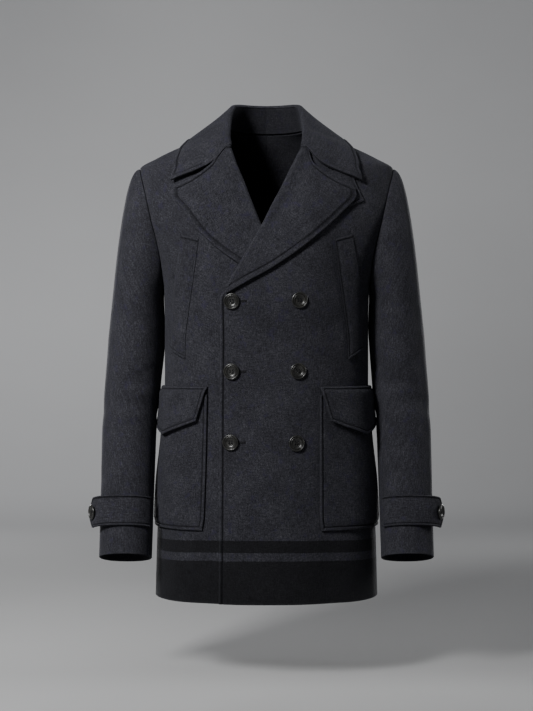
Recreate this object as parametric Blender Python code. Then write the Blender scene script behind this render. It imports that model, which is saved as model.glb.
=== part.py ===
"""A double-breasted pea coat in thick wool, open at the neck and hollow, as it stands when worn.

Metres, +Z up, the front towards -Y and the wearer's left at +X. The origin is the middle of the
neck at the height of the shoulder tops. The sizes below are in millimetres.

The body is one smooth form. At height z its ring is |x/a|^n + |y/b|^n = 1, with a, b and n from
TORSO. Each panel is the part of it between two seams, and what is sewn on a panel is the same
form moved out along its normal. A sleeve runs from the armhole curve to the rings of SLEEVE.
Wearer's right pieces are made in the left side's frame and mirrored.
"""

import bpy
import numpy as np
from mathutils import Vector
from mathutils.bvhtree import BVHTree

for thing in list(bpy.data.objects):
    bpy.data.objects.remove(thing, do_unlink=True)

# ---------------------------------------------------------------- sizes
CLOTH = 3.0  # wall of the coating
SEAM = 0.4  # clear gap between two pieces
FOLD = 1.6  # inside radius where a lapel or the collar turns over
ROLL = FOLD + CLOTH  # its outside radius
LYING = 2 * FOLD + CLOTH  # how high a turned piece lies on the panel
SEWN = CLOTH + 1.0  # how high a piece sewn flat on a panel reaches
HEM = -810.0
SHOULDER = -69.0  # outer end of the shoulder seam
UNDERARM = -275.0
BUTTON = 13.7  # radius
CUFF_BUTTON = 12.5

# height, half width a, front depth, back depth, squareness n
TORSO = (
    (6, 46, 44, 52, 2.0),
    (0, 66, 58, 66, 2.0),
    (-8, 88, 61, 69, 2.0),
    (-18, 114, 65, 73, 2.0),
    (-31, 150, 71, 79, 2.0),
    (-52, 194, 82, 88, 2.05),
    (-69, 221, 91, 95, 2.1),
    (-85, 222.5, 99, 100, 2.2),
    (-100, 222, 105, 104.5, 2.3),
    (-130, 220, 114, 111, 2.5),
    (-160, 213.5, 122, 115, 2.6),
    (-200, 200, 128.5, 118, 2.6),
    (-240, 187.5, 132.5, 118, 2.55),
    (-262, 182, 134, 117, 2.5),
    (-275, 179.5, 134.5, 116, 2.5),
    (-300, 178, 134.5, 113.5, 2.45),
    (-340, 177.4, 133, 109, 2.4),
    (-410, 177.4, 130, 103, 2.4),
    (-451, 177.6, 129.5, 105, 2.4),
    (-500, 179, 130, 108, 2.4),
    (-550, 182.5, 131, 111, 2.4),
    (-600, 186, 132, 114, 2.35),
    (-700, 190.5, 134, 119, 2.3),
    (-810, 193.5, 136, 123, 2.3),
)
# height, half width to the armhole seam in front, and behind
ARMHOLE = (
    (-69, 221, 221),
    (-85, 217, 216.5),
    (-100, 213, 211.5),
    (-130, 205.5, 203),
    (-160, 198.5, 196),
    (-200, 188.5, 186.5),
    (-240, 181, 180.5),
    (-262, 179.6, 179.6),
    (-275, 179.5, 179.5),
)
# hanging folds: angle round from the left side, its width (degrees), where it fades in, where it
# is full, depth out (+) or in (-)
HANGS = (
    (52, 12, -330, -700, -3.0),
    (33, 9, -420, -760, 2.5),
    (128, 12, -360, -720, -3.0),
    (147, 9, -440, -770, 2.5),
    (-40, 11, -300, -720, 3.5),
    (-62, 10, -380, -760, -3.0),
    (-118, 10, -340, -740, 3.0),
    (-140, 11, -320, -700, -3.5),
)
# height, middle x, half width, middle y, half depth, tilt of the ring (degrees), squareness
SLEEVE = (
    (-304.5, 225.1, 45.0, 2, 67, 0, 2.2),
    (-367.5, 228.2, 48.4, 3, 66, 1, 2.2),
    (-451, 233.7, 48.6, -4, 61, 4, 2.2),
    (-485, 236.4, 47.6, -9, 58, 7, 2.2),
    (-534, 238.5, 46.9, -19, 55, 10, 2.2),
    (-640, 239.6, 45.6, -44, 51, 14, 2.2),
    (-739.6, 240.5, 44.8, -69, 50, 15, 2.2),
)
# creases across a sleeve: height in front, angle round the sleeve from outside (degrees), its
# width, half height, depth
CREASES = (
    (-440, 100, 42, 15, -4.0),
    (-478, 70, 48, 16, -4.5),
    (-520, 115, 44, 14, -3.5),
    (-465, 250, 40, 22, 3.0),
    (-330, 60, 30, 20, -3.0),
)
# A lapel, from its top row at the gorge to the break: turn line, middle and outer edge, each as
# x towards its own side and height
LEFT_LAPEL = (
    (58.0, -42.0, 86.9, -79.9, 147.7, -113.3),
    (41.8, -74.6, 86.6, -104.7, 149.3, -127.4),
    (24.3, -111.7, 66.1, -136.1, 122.8, -157.5),
    (5.9, -148.8, 42.5, -167.0, 89.1, -189.3),
    (-7.5, -176.9, 22.5, -196.0, 55.7, -217.9),
    (-27.5, -212.3, -9.1, -231.4, 10.0, -250.2),
    (-49.1, -249.8, -43.5, -262.5, -38.0, -276.5),
    (-66.8, -280.9, -65.3, -286.6, -64.5, -292.1),
)
RIGHT_LAPEL = (
    (58.5, -42.0, 102.2, -82.3, 158.0, -112.0),
    (49.9, -69.1, 98.4, -106.2, 157.1, -126.2),
    (36.1, -103.0, 79.5, -134.2, 136.8, -152.0),
    (21.8, -141.1, 57.5, -166.9, 110.3, -188.3),
    (7.5, -176.9, 39.1, -197.4, 79.3, -217.3),
    (-5.8, -212.3, 17.4, -225.9, 43.5, -243.4),
    (-24.1, -249.1, -9.1, -256.0, 7.5, -266.0),
    (-50.4, -280.6, -43.7, -283.3, -35.4, -287.5),
)
# Front edges under the break, as height and x towards the piece's own side
LEFT_EDGE = ((-296, -75.4), (-320, -75.9), (-560, -78.5), (-810, -80))
RIGHT_EDGE = ((-300, -62), (-330, -68), (-810, -70))
# The collar's front end, along the gorge seam and then free: share of its length, x, height
GORGE = (
    (0, 66, -42), (0.15, 72, -59), (0.3, 84, -71.5), (0.55, 110, -84), (0.8, 138, -92),
    (1, 159, -97.5),
)
# The collar's half from the gorge to the centre back: top of the turn, the way out from the
# neck there, the style line, the neckline under it
COLLAR = (
    (59.5, -71, -37, 0.15, -0.84, 0.52, 162, -88, -94.5, 65, -69, -39),
    (62.5, -57, -15, 0.42, -0.76, 0.38, 155, -72, -69, 66, -54, -20),
    (63, -33, 12, 0.80, -0.50, 0.20, 147.5, -48, -43, 66, -28, 1),
    (61.5, -10, 34, 0.98, -0.15, 0.10, 137, -12, -22, 65, -6, 1),
    (57, 15, 45, 0.95, 0.28, 0.05, 126, 31, -22, 60, 22, 1),
    (44, 38, 49, 0.74, 0.67, 0.02, 97, 70, -36, 46, 42, 1),
    (24, 54, 50, 0.40, 0.92, 0.0, 52, 92, -46, 26, 56, 1),
    (0, 60, 50, 0.0, 1.0, 0.0, 0, 98, -50, 0, 62, 1),
)


# ---------------------------------------------------------------- the form
def along(table, at):
    """A table's columns at places of its first column, smooth and never past a row's value."""
    rows = np.array(table, float)
    rows = rows[np.argsort(rows[:, 0])]
    x, y = rows[:, 0], rows[:, 1:]
    step = np.diff(x)[:, None]
    rise = np.diff(y, axis=0) / step
    both = rise[:-1] * rise[1:]
    total = np.where(both > 0, rise[:-1] + rise[1:], 1)
    slope = np.vstack([rise[:1], np.where(both > 0, 2 * both / total, 0), rise[-1:]])
    at = np.clip(np.asarray(at, float), x[0], x[-1])
    i = np.clip(np.searchsorted(x, at) - 1, 0, len(x) - 2)
    h = step[i]
    t = (at - x[i])[..., None] / h
    return (
        (1 + 2 * t) * (1 - t) ** 2 * y[i]
        + t * (1 - t) ** 2 * h * slope[i]
        + t**2 * (3 - 2 * t) * y[i + 1]
        + t**2 * (t - 1) * h * slope[i + 1]
    )


def ease(start, end, at):
    """0 at start, 1 at end, level at both."""
    t = np.clip((np.asarray(at, float) - start) / (end - start), 0, 1)
    return t * t * (3 - 2 * t)


def unit(v):
    return v / np.linalg.norm(v, axis=-1, keepdims=True)


def ring(z, angle):
    """Outer cloth of the body at height z and angle round it: 0 the left side, 90 degrees the front."""
    a, front, back, n = np.moveaxis(along(TORSO, z), -1, 0)
    c, s = np.cos(angle), np.sin(angle)
    r = (np.abs(c / a) ** n + np.abs(s / np.where(s > 0, front, back)) ** n) ** (-1 / n)
    degrees = (np.degrees(angle) + 180) % 360 - 180
    for middle, width, start, full, depth in HANGS:
        r = r + depth * np.exp(-(((degrees - middle) / width) ** 2)) * ease(start, full, z)
    return np.stack([r * c, -r * s, np.broadcast_to(z, r.shape)], -1)


def body(z, angle, lift=0.0):
    """A point of the body moved out along its normal."""
    z, angle = np.broadcast_arrays(np.asarray(z, float), np.asarray(angle, float))
    up = ring(z + 0.5, angle) - ring(z - 0.5, angle)
    way = ring(z, angle + 0.004) - ring(z, angle - 0.004)
    out = unit(np.cross(up, way))
    return ring(z, angle) + out * np.asarray(lift, float)[..., None]


def angle_at(z, x, front=True):
    """Angle round the body at which its cloth has this x."""
    a, deep, back, n = np.moveaxis(along(TORSO, z), -1, 0)
    y = (deep if front else back) * np.clip(1 - np.abs(x / a) ** n, 0, None) ** (1 / n)
    return np.arctan2(y if front else -y, x)


def on_front(x, z, lift=0.0):
    return body(z, angle_at(z, x), lift)


def spread(z, start, end, fractions):
    """Angles between start and end at these fractions of the cloth's own length."""
    fine = np.linspace(start, end, 90)
    p = ring(np.full(90, float(z)), fine)
    run = np.concatenate([[0], np.cumsum(np.linalg.norm(np.diff(p, axis=0), axis=1))])
    return np.interp(np.asarray(fractions) * run[-1], run, fine)


# ---------------------------------------------------------------- making pieces
coat = bpy.data.collections.new("pea_coat")
bpy.context.scene.collection.children.link(coat)


def colour(name, rgb, rough):
    material = bpy.data.materials.new(name)
    material.use_nodes = True
    shader = material.node_tree.nodes["Principled BSDF"]
    shader.inputs["Base Color"].default_value = (*rgb, 1)
    shader.inputs["Roughness"].default_value = rough
    return material


def add(name, points, faces, rgb, rough):
    mesh = bpy.data.meshes.new(name)
    mesh.from_pydata([tuple(p) for p in points * 0.001], [], faces)
    mesh.materials.append(colour(name, rgb, rough))
    thing = bpy.data.objects.new(name, mesh)
    coat.objects.link(thing)
    return thing


def out_of(grid):
    """The way out of a grid of points, from its rows and columns."""
    return unit(np.cross(np.gradient(grid, axis=1), np.gradient(grid, axis=0)))


def sewn(name, outer, inner, side=1, turned=False, rgb=(0.026, 0.027, 0.034)):
    """A closed piece of cloth between two faces, each a grid of points: rows downwards, columns
    from the left side to the front. turned: the columns run the other way. side -1 mirrors it."""
    rows, columns = outer.shape[:2]
    points = np.concatenate([outer.reshape(-1, 3), inner.reshape(-1, 3)]) * (side, 1, 1)
    i = np.arange(rows * columns).reshape(rows, columns)
    quads = np.stack([i[:-1, :-1], i[:-1, 1:], i[1:, 1:], i[1:, :-1]], -1).reshape(-1, 4)
    edge = np.concatenate([i[0, :-1], i[:-1, -1], i[-1, :0:-1], i[:0:-1, 0]])
    after = np.roll(edge, -1)
    rim = np.stack([after, edge, edge + i.size, after + i.size], -1)
    faces = np.concatenate([quads, quads[:, ::-1] + i.size, rim])
    if turned != (side < 0):
        faces = faces[:, ::-1]
    return add(name, points, faces.tolist(), rgb, 0.9)


def laid(name, z, angle, lift, side=1, turned=False, wall=CLOTH):
    """A piece of cloth that follows the body at this lift."""
    return sewn(name, body(z, angle, lift), body(z, angle, lift - wall), side, turned)


def side_name(side):
    return "left" if side > 0 else "right"


# ---------------------------------------------------------------- fronts and backs
def front_edge(lapel, edge, z):
    """x of a front panel's free edge: neckline, then inside the turn line, then the front edge."""
    neck = ((0, 66), (-14, 67), (-28, 66.5), (lapel[0][1], lapel[0][0] + 5.9))
    table = [*neck, *[(row[1], row[0] + 6.1) for row in lapel[1:]], *edge]
    return along(table, z)[..., 0]


def over_lift(x, z):
    """The left front lies over the right one, and higher where the right lapel is between them."""
    overlap = ease(-140, -200, z) * (1 - ease(70, 128, x))
    bulk = ease(-105, -163, z) * (1 - ease(-296, -372, z)) * (1 - ease(64, 138, x))
    return (CLOTH + 1) * overlap + (LYING + 0.6) * bulk


def no_lift(x, z):
    return 0 * x


PANEL_ROWS = np.concatenate(
    [
        [-2.5, -9, -18, -28.5, -41],
        np.linspace(-55, SHOULDER, 2),
        np.linspace(-84, -262, 9),
        np.linspace(UNDERARM, HEM, 12),
    ]
)


def seam_angle(z, front):
    """Angle of the shoulder, armhole or side seam, less the seam's gap."""
    a = along(TORSO, z)[..., 0]
    x = along(ARMHOLE, z)[..., 0 if front else 1]
    held = (z < SHOULDER) & (z > UNDERARM)
    angle = np.abs(angle_at(z, np.where(held, np.minimum(x, a), a), front))
    return np.maximum(angle, SEAM / 2 / a)


def front_panel(side, lapel, edge, lift):
    z = np.repeat(PANEL_ROWS[:, None], 16, 1)
    last = angle_at(PANEL_ROWS, front_edge(lapel, edge, PANEL_ROWS))
    ends = zip(PANEL_ROWS, seam_angle(PANEL_ROWS, True), last)
    angle = np.array([spread(*row, np.linspace(0, 1, 16)) for row in ends])
    return laid(f"front_{side_name(side)}", z, angle, lift(ring(z, angle)[..., 0], z), side)


def back_panel(side):
    heights = np.concatenate([[0.0], PANEL_ROWS[1:]])
    z = np.repeat(heights[:, None], 10, 1)
    middle = -np.pi / 2 + SEAM / 2 / along(TORSO, heights)[:, 2]
    ends = zip(heights, middle, -seam_angle(heights, False))
    angle = np.array([spread(*row, np.linspace(0, 1, 10)) for row in ends])
    return laid(f"back_{side_name(side)}", z, angle, 0 * z, side)


front_panel(1, LEFT_LAPEL, LEFT_EDGE, over_lift)
front_panel(-1, RIGHT_LAPEL, RIGHT_EDGE, no_lift)
for side in (1, -1):
    back_panel(side)


# ---------------------------------------------------------------- lapels
def turned_over(start, forward, up, radius, turn, steps):
    """Points round a fold that leaves start along forward and bends towards up."""
    b = np.linspace(0, turn, steps)[:, None]
    return start + up * radius - radius * (up * np.cos(b) - forward * np.sin(b))


def lapel_piece(side, lapel, lift):
    rows = 12
    table = [(i, *row) for i, row in enumerate(lapel)]
    at = along(table, np.linspace(0, len(lapel) - 1, rows))
    turn_x = at[:, 0] + np.concatenate([[5.9], np.full(rows - 1, 6.1)])
    line = on_front(turn_x, at[:, 1], lift(turn_x, at[:, 1]))
    raised = on_front(turn_x, at[:, 1], lift(turn_x, at[:, 1]) + 1)
    up = raised - line
    way = unit(np.gradient(line, axis=0))
    forward = unit(np.cross(way, up))
    forward = forward * np.sign(-forward[:, :1])
    faces = []
    for wall in (0, CLOTH):
        grid = []
        for k in range(rows):
            start = line[k] - up[k] * (CLOTH - wall) + forward[k] * SEAM
            arc = turned_over(start, forward[k], up[k], ROLL - wall, np.pi, 6)
            t = np.linspace(0.16, 1, 6)
            x0, z0, x1, z1, x2, z2 = turn_x[k], *at[k, 1:]
            x = x0 * (1 - t) * (1 - 2 * t) + x1 * 4 * t * (1 - t) + x2 * t * (2 * t - 1)
            z = z0 * (1 - t) * (1 - 2 * t) + z1 * 4 * t * (1 - t) + z2 * t * (2 * t - 1)
            spring = 3.0 * t * (1 - ease(-125, -185, z))
            lying = on_front(x, z, lift(x, z) + LYING + spring - wall)
            grid.append(np.vstack([arc, lying]))
        faces.append(np.array(grid))
    return sewn(f"lapel_{side_name(side)}", *faces, side, turned=True)


lapel_piece(1, LEFT_LAPEL, over_lift)
lapel_piece(-1, RIGHT_LAPEL, no_lift)


# ---------------------------------------------------------------- collar
def clear_of_body(points, lift):
    """Points moved out, level, until they are at least this far from the body."""
    z = points[..., 2]
    a, front, back, n = np.moveaxis(along(TORSO, z), -1, 0)
    deep = np.where(points[..., 1] < 0, front, back)
    inside = (np.abs(points[..., 0] / a) ** n + np.abs(points[..., 1] / deep) ** n) ** (1 / n)
    reach = np.linalg.norm(points[..., :2], axis=-1)
    gap = reach - reach / inside
    push = np.logaddexp(0, (lift - gap) / 1.5) * 1.5
    grown = 1 + np.where(z < 1, push, 0) / reach
    return points * np.stack([grown, grown, np.ones_like(grown)], -1)


def collar_sections(count):
    """For places from the gorge to the centre back: the fold's start, its ways, and the edges."""
    table = [(i, *row) for i, row in enumerate(COLLAR)]
    at = along(table, np.linspace(0, len(COLLAR) - 1, count))
    top, out, style, neck = at[:, 0:3], unit(at[:, 3:6]), at[:, 6:9], at[:, 9:12]
    way = unit(np.gradient(top, axis=0))
    way[-1] = (-1, 0, 0)
    out = unit(out - way * (out * way).sum(1, keepdims=True))
    up = unit(np.cross(out, way))
    start = top - out * ROLL - up * ROLL
    return start, up, out, style, neck


def collar_half(count=15):
    start, up, out, style, neck = collar_sections(count)
    columns = []
    for k in range(count):
        front = 1 - ease(0, 0.32, k / (count - 1))
        fall = style[k] - start[k]
        turn = np.arctan2(fall @ out[k], fall @ up[k])
        arc = turned_over(start[k], up[k], out[k], ROLL, turn + (np.pi - turn) * front, 6)
        t = np.linspace(0, 1, 8)[1:, None]
        lying = arc[-1] * (1 - t) + style[k] * t
        if k == 0:
            bend = (along(GORGE, t[:, 0]) - lying[:, [0, 2]])[:, [0, 0, 1]] * (1, 0, 1)
        lying = lying + bend * front
        lift = LYING + 5.8 + 3.2 * (1 - front) * np.ones(7)
        columns.append(np.vstack([arc, clear_of_body(lying, lift)]))
    return np.array(columns)


half = collar_half()
whole = np.concatenate([half * (-1, 1, 1), half[-2::-1]]).transpose(1, 0, 2)
out = out_of(whole)
towards_neck = -collar_sections(15)[2]
out[0] = np.concatenate([towards_neck * (-1, 1, 1), towards_neck[-2::-1]])
sewn("collar", whole, whole - out * CLOTH)


def stand_half(count=15, first=4):
    start, up, out, style, neck = collar_sections(count)
    columns = []
    for k in range(first, count):
        top = start[k] - up[k] * SEAM
        t = np.linspace(0, 1, 4)[:, None]
        columns.append(top * (1 - t) + neck[k] * t)
    return np.array(columns), out[first:, None]


half, out = stand_half()
faces = []
for face in (half, half + out * CLOTH):
    faces.append(np.concatenate([face * (-1, 1, 1), face[-2::-1]]).transpose(1, 0, 2))
sewn("collar_stand", faces[1], faces[0])


# ---------------------------------------------------------------- sleeves
def sleeve_ring(z, angle):
    """A sleeve's outer cloth: angle 0 outside, 90 degrees in front, 180 towards the body."""
    x0, wide, y0, deep, tilt, n = np.moveaxis(along(SLEEVE, z), -1, 0)
    c, s = np.cos(angle), np.sin(angle)
    r = (np.abs(c / wide) ** n + np.abs(s / deep) ** n) ** (-1 / n)
    for height, middle, width, tall, depth in CREASES:
        off = (np.degrees(angle) - middle + 180) % 360 - 180
        low = height - 0.25 * np.abs(off)
        r = r + depth * np.exp(-((off / width) ** 2) - ((z - low) / tall) ** 2)
    tilt = np.radians(tilt)
    y = -r * s
    return np.stack([x0 + r * c, y0 + y * np.cos(tilt), z - y * np.sin(tilt)], -1)


def sleeve_out(z, angle, lift):
    down = sleeve_ring(z - 0.5, angle) - sleeve_ring(z + 0.5, angle)
    way = sleeve_ring(z, angle + 0.01) - sleeve_ring(z, angle - 0.01)
    out = unit(np.cross(way, down))
    return sleeve_ring(z, angle) + out * np.asarray(lift, float)[..., None]


def armhole(angle):
    """The armhole seam on the body, from the shoulder point round the front."""
    z = SHOULDER + (UNDERARM - SHOULDER) * (1 - np.cos(angle)) / 2
    front = np.sin(angle) > 0
    x = np.where(front, along(ARMHOLE, z)[..., 0], along(ARMHOLE, z)[..., 1])
    a, deep, back, n = np.moveaxis(along(TORSO, z), -1, 0)
    y = np.clip(1 - np.abs(np.minimum(x, a) / a) ** n, 0, None) ** (1 / n)
    return np.stack([x, np.where(front, -y * deep, y * back), z], -1)


def sleeve_cap(angle, t):
    """From the armhole (t = 0) to the first sleeve ring (t = 1)."""
    t = t[:, None, None]
    top = SLEEVE[0][0]
    start, end = armhole(angle), sleeve_ring(np.full_like(angle, top), angle)
    chord = np.linalg.norm(end - start, axis=-1, keepdims=True)
    under = (np.sin(angle / 2) ** 2)[:, None]
    lean = np.sin(angle)[:, None]
    leave = np.concatenate([1 - 0.93 * under, -0.42 * lean, -under - 0.25 * lean**2], -1)
    leave = unit(leave) * chord * (0.27 + 0.68 * under)
    arrive = sleeve_ring(np.full_like(angle, top - 6), angle) - end
    arrive = unit(arrive) * chord * (1.0 + 0.95 * (1 - under) ** 1.5)
    start = start + unit(leave) * (SEAM + 0.1)
    return (
        (1 + 2 * t) * (1 - t) ** 2 * start
        + t * (1 - t) ** 2 * leave
        + t**2 * (3 - 2 * t) * end
        + t**2 * (t - 1) * arrive
    )


def sleeve_face(angle):
    """The whole length of the sleeve's outer cloth at these angles."""
    cap = sleeve_cap(angle, np.linspace(0, 1, 8) ** 1.25)
    heights = np.concatenate([np.linspace(-326, -590, 11), [-640, -690, SLEEVE[-1][0]]])
    return np.concatenate([cap, [sleeve_ring(np.full(len(angle), z), angle) for z in heights]])


def sleeve_piece(side, name, first, last, columns):
    angle = np.radians(np.linspace(first, last, columns))
    face = sleeve_face(angle)
    way = sleeve_face(angle + 0.02) - sleeve_face(angle - 0.02)
    out = unit(np.cross(way, np.gradient(face, axis=0)))
    return sewn(f"{name}_{side_name(side)}", face, face - out * CLOTH, side)


FRONT_SEAM, BACK_SEAM = 146.0, 262.0  # round the sleeve from outside, in degrees
for side in (1, -1):
    gap = 0.25
    sleeve_piece(side, "sleeve_top", BACK_SEAM - 360 + gap, FRONT_SEAM - gap, 12)
    sleeve_piece(side, "sleeve_under", FRONT_SEAM + gap, BACK_SEAM - gap, 7)


# ---------------------------------------------------------------- cuff straps
def strap_lift(t):
    """How far a cuff strap stands off the sleeve at share t of its length."""
    return SEWN + 10.5 * ease(0.42, 0.86, t) + 4 * ease(0.86, 1.02, t)


def cuff_strap(side):
    """A tab from the front seam to the outside of the cuff, its pointed end standing off."""
    t = np.array([0, 0.11, 0.22, 0.33, 0.44, 0.55, 0.65, 0.74, 0.81, 0.875, 0.94, 1])
    angle = np.radians(144 - 135 * t)
    lift = strap_lift(t)
    point = 0.97 * np.clip((t - 0.875) / 0.125, 0, 1)
    part = np.array([1, 0, -1])[:, None]
    z = -668 + 25.3 * part * (1 - point)
    angle, lift = angle + 0 * z, lift + 0 * z
    faces = sleeve_out(z, angle, lift), sleeve_out(z, angle, lift - 2.8)
    return sewn(f"cuff_strap_{side_name(side)}", *faces, side, turned=True)


# ---------------------------------------------------------------- pockets, flaps, welts, tab
def wrapped(start_x, z, run):
    """Angles round the body at distances run (mm) along the cloth from the front place start_x."""
    first = angle_at(z, start_x)
    fine = np.linspace(first, first - 2.4, 200)
    p = ring(np.full(200, float(z)), fine)
    length = np.concatenate([[0], np.cumsum(np.linalg.norm(np.diff(p, axis=0), axis=1))])
    return np.interp(run, length, fine)


def pocket(side, top_x, low_x, under):
    """A patch pocket round the side seam, its lower outer corner full."""
    v = np.array([0, 0.25, 0.5, 0.72, 0.86, 0.95, 1])[:, None]
    u = np.array([0, 0.03, 0.11, 0.21, 0.31, 0.42, 0.53, 0.64, 0.76, 0.88, 0.97, 1])[None]
    z = -460 + (-688.5 + 460) * v + 0 * u
    start = top_x + (low_x - top_x) * v[:, 0]
    runs = 178 * (u - 0.5) * (1 - 0.03 * ease(0.9, 1, v)) + 89
    angle = np.array([wrapped(x, h, run) for x, h, run in zip(start, z[:, 0], runs)])
    full = ease(0, 0.12, u) * ease(0, 0.1, 1 - u) * ease(0.3, 0.75, v) * ease(0, 0.07, 1 - v)
    lift = SEWN + full * (0.6 + 3.0 * ease(0.1, 0.5, u)) + under(ring(z, angle)[..., 0], z)
    return laid(f"pocket_{side_name(side)}", z, angle, lift, side, turned=True)


def flap(side, top_x, under):
    """A pointed flap over the pocket's mouth."""
    v = np.array([0, 0.14, 0.3, 0.55, 0.8, 1])[:, None]
    u = np.array([0, 0.1, 0.2, 0.3, 0.4, 0.5, 0.6, 0.7, 0.8, 0.9, 1])[None]
    z = -446.5 - v * (58 + 26 * (1 - np.abs(2 * u - 1)) ** 0.9)
    run = 184 * (0.5 + (u - 0.5) * (1 - 0.2 * v)) - 1
    angle = np.vectorize(lambda h, r: wrapped(top_x, h, r))(z, run)
    lift = SEWN * (1 + ease(0, 0.16, v)) + under(ring(z, angle)[..., 0], z)
    return laid(f"flap_{side_name(side)}", z, angle, lift, side, turned=True)


def welt(side, under):
    """The slanting chest pocket's raised strip, as front edge and back edge by height."""
    v = np.linspace(0, 1, 9)
    near = along(((0, 114, -199.5), (0.25, 120.3, -250), (0.5, 128.3, -303),
                  (0.83, 136.8, -371), (1, 137.5, -401)), v)[:, None]
    far = along(((0, 143.5, -190.5), (0.25, 153.5, -245), (0.5, 159.5, -296),
                 (0.83, 162.3, -352), (1, 163.2, -384)), v)[:, None]
    p = near + (far - near) * np.array([0, 0.5, 1])[None, :, None]
    x, z = p[..., 0], p[..., 1]
    lift = SEWN + 0.7 + under(x, z)
    return laid(f"welt_{side_name(side)}", z, angle_at(z, x), lift, side, turned=True)


def throat_tab():
    """The tab that closes the collar, kept under the left lapel and collar point."""
    corner, low, high = np.array([164.0, -133.5]), np.array([126.3, -149.9]), np.array([137, -72.0])
    v = np.linspace(1, 0, 5)[:, None, None]
    t = np.linspace(0, 1, 5)[None, :, None]
    p = corner + (high - corner) * v + (low - corner) * t
    x, z = p[..., 0], p[..., 1]
    return laid("throat_tab", z, angle_at(z, x), np.full(x.shape, CLOTH + 1.2))


for side, top_x, low_x, under in ((1, 87.5, 89.3, over_lift), (-1, 98.5, 106.0, no_lift)):
    pocket(side, top_x, low_x, under)
    flap(side, top_x + 0.4, under)
    welt(side, under)
    cuff_strap(side)
throat_tab()


# ---------------------------------------------------------------- buttons
def button(name, place, facing, radius):
    """A round button with a raised rim, a dished middle and four holes through it."""
    k = radius / BUTTON
    profile = (
        (0, 0.0), (8.6, 0.0), (12.6, 1.2), (13.7, 3.0), (12.9, 4.5),
        (11.5, 4.9), (9.2, 3.6), (0, 3.1),
    )
    facing = unit(np.asarray(facing, float))
    right = unit(np.cross((0, 0, 1), facing))
    up = np.cross(facing, right)
    around = 16
    turn = np.arange(around) * 2 * np.pi / around
    points, faces = [place + facing * profile[0][1] * k], []
    for r, h in profile[1:-1]:
        for a in turn:
            points.append(place + (right * np.cos(a) + up * np.sin(a)) * r * k + facing * h * k)
    points.append(place + facing * profile[-1][1] * k)
    last = len(points) - 1
    for j in range(around):
        n = (j + 1) % around
        faces.append((0, 1 + n, 1 + j))
        for ring_no in range(len(profile) - 3):
            low, high = 1 + ring_no * around, 1 + (ring_no + 1) * around
            faces.append((low + j, low + n, high + n, high + j))
        top = 1 + (len(profile) - 3) * around
        faces.append((top + j, top + n, last))
    thing = add(name, np.array(points), faces, (0.03, 0.027, 0.022), 0.35)
    holes, walls = [], []
    for sx, sy in ((1, 1), (-1, 1), (-1, -1), (1, -1)):
        middle = place + (right * sx + up * sy) * 2.3 * k
        base = len(holes)
        for depth in (-2, 7):
            for a in np.arange(6) * np.pi / 3:
                holes.append(middle + (right * np.cos(a) + up * np.sin(a)) * 1.05 * k + facing * depth)
        walls.append(tuple(base + i for i in range(5, -1, -1)))
        walls.append(tuple(base + 6 + i for i in range(6)))
        walls += [(base + i, base + (i + 1) % 6, base + 6 + (i + 1) % 6, base + 6 + i) for i in range(6)]
    cutter = add(f"{name}_holes", np.array(holes), walls, (0, 0, 0), 0.5)
    cutter.hide_render = True
    cutter.display_type = "WIRE"
    cut = thing.modifiers.new("holes", "BOOLEAN")
    cut.object = cutter
    cut.operation = "DIFFERENCE"
    cut.solver = "EXACT"
    return thing


# x and height of each front button, top pair first, the wearer's right first
FRONT_BUTTONS = (
    (-56.2, -304.0), (53.5, -302.3), (-57.5, -421.3),
    (52.1, -420.4), (-59.1, -539.7), (49.5, -541.1),
)


def seated(cloth, place, facing, radius):
    """The place moved along facing until a disc of this radius lies 0.35 mm clear of the cloth."""
    mesh = bpy.data.objects[cloth].data
    faces = [tuple(face.vertices) for face in mesh.polygons]
    tree = BVHTree.FromPolygons([vertex.co * 1000 for vertex in mesh.vertices], faces)
    right = unit(np.cross((0, 0, 1), facing))
    up = np.cross(facing, right)
    turn = np.repeat(np.arange(16) * np.pi / 8, 5)[:, None]
    reach = np.tile(np.linspace(0.2, 1, 5), 16)[:, None] * radius
    disc = (right * np.cos(turn) + up * np.sin(turn)) * reach
    place = place + facing * 12
    for _ in range(12):
        clear = min(tree.find_nearest(Vector(spot))[3] for spot in place + disc)
        place = place - facing * (clear - 0.35)
    return place


def facing_front(x, z):
    """The way out of the left front's own cloth, where it lies over the right one."""
    x, z = x + np.array([0, 6, -6, 0, 0]), z + np.array([0, 0, 0, 6, -6])
    p = on_front(x, z, over_lift(x, z))
    return p[0], unit(np.cross(p[1] - p[2], p[3] - p[4]))


for number, (x, z) in enumerate(FRONT_BUTTONS, 1):
    place, facing = facing_front(x, z)
    button(f"button_{number}", seated("front_left", place, facing, 8.6), facing, BUTTON)

for side in (1, -1):
    share = np.array([0.81, 0.84, 0.87])
    strap = sleeve_out(np.full(3, -668.0), np.radians(144 - 135 * share), strap_lift(share))
    facing = unit(np.cross((0, 0, 1), strap[0] - strap[2])) * (side, 1, 1)
    place = seated(f"cuff_strap_{side_name(side)}", strap[1] * (side, 1, 1), facing, 7.8)
    button(f"cuff_button_{side_name(side)}", place, facing, CUFF_BUTTON)
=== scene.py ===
"""The looks of a double-breasted pea coat in heavy felted wool, open at the neck and hollow.

Sizes are in millimetres, and meshes go to metres as they are made. The body is one smooth form: at
height z its ring is |x/a|^n + |y/b|^n = 1, with a, b and n read from a table, and soft folds added
to its radius. A panel is the part of it between two seams. Each panel is a grid, placed by how far
along the cloth a point lies, with an outer and an inner face that turn towards each other at the
edges. Right-hand pieces are worked out on the left and mirrored.
"""

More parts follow.
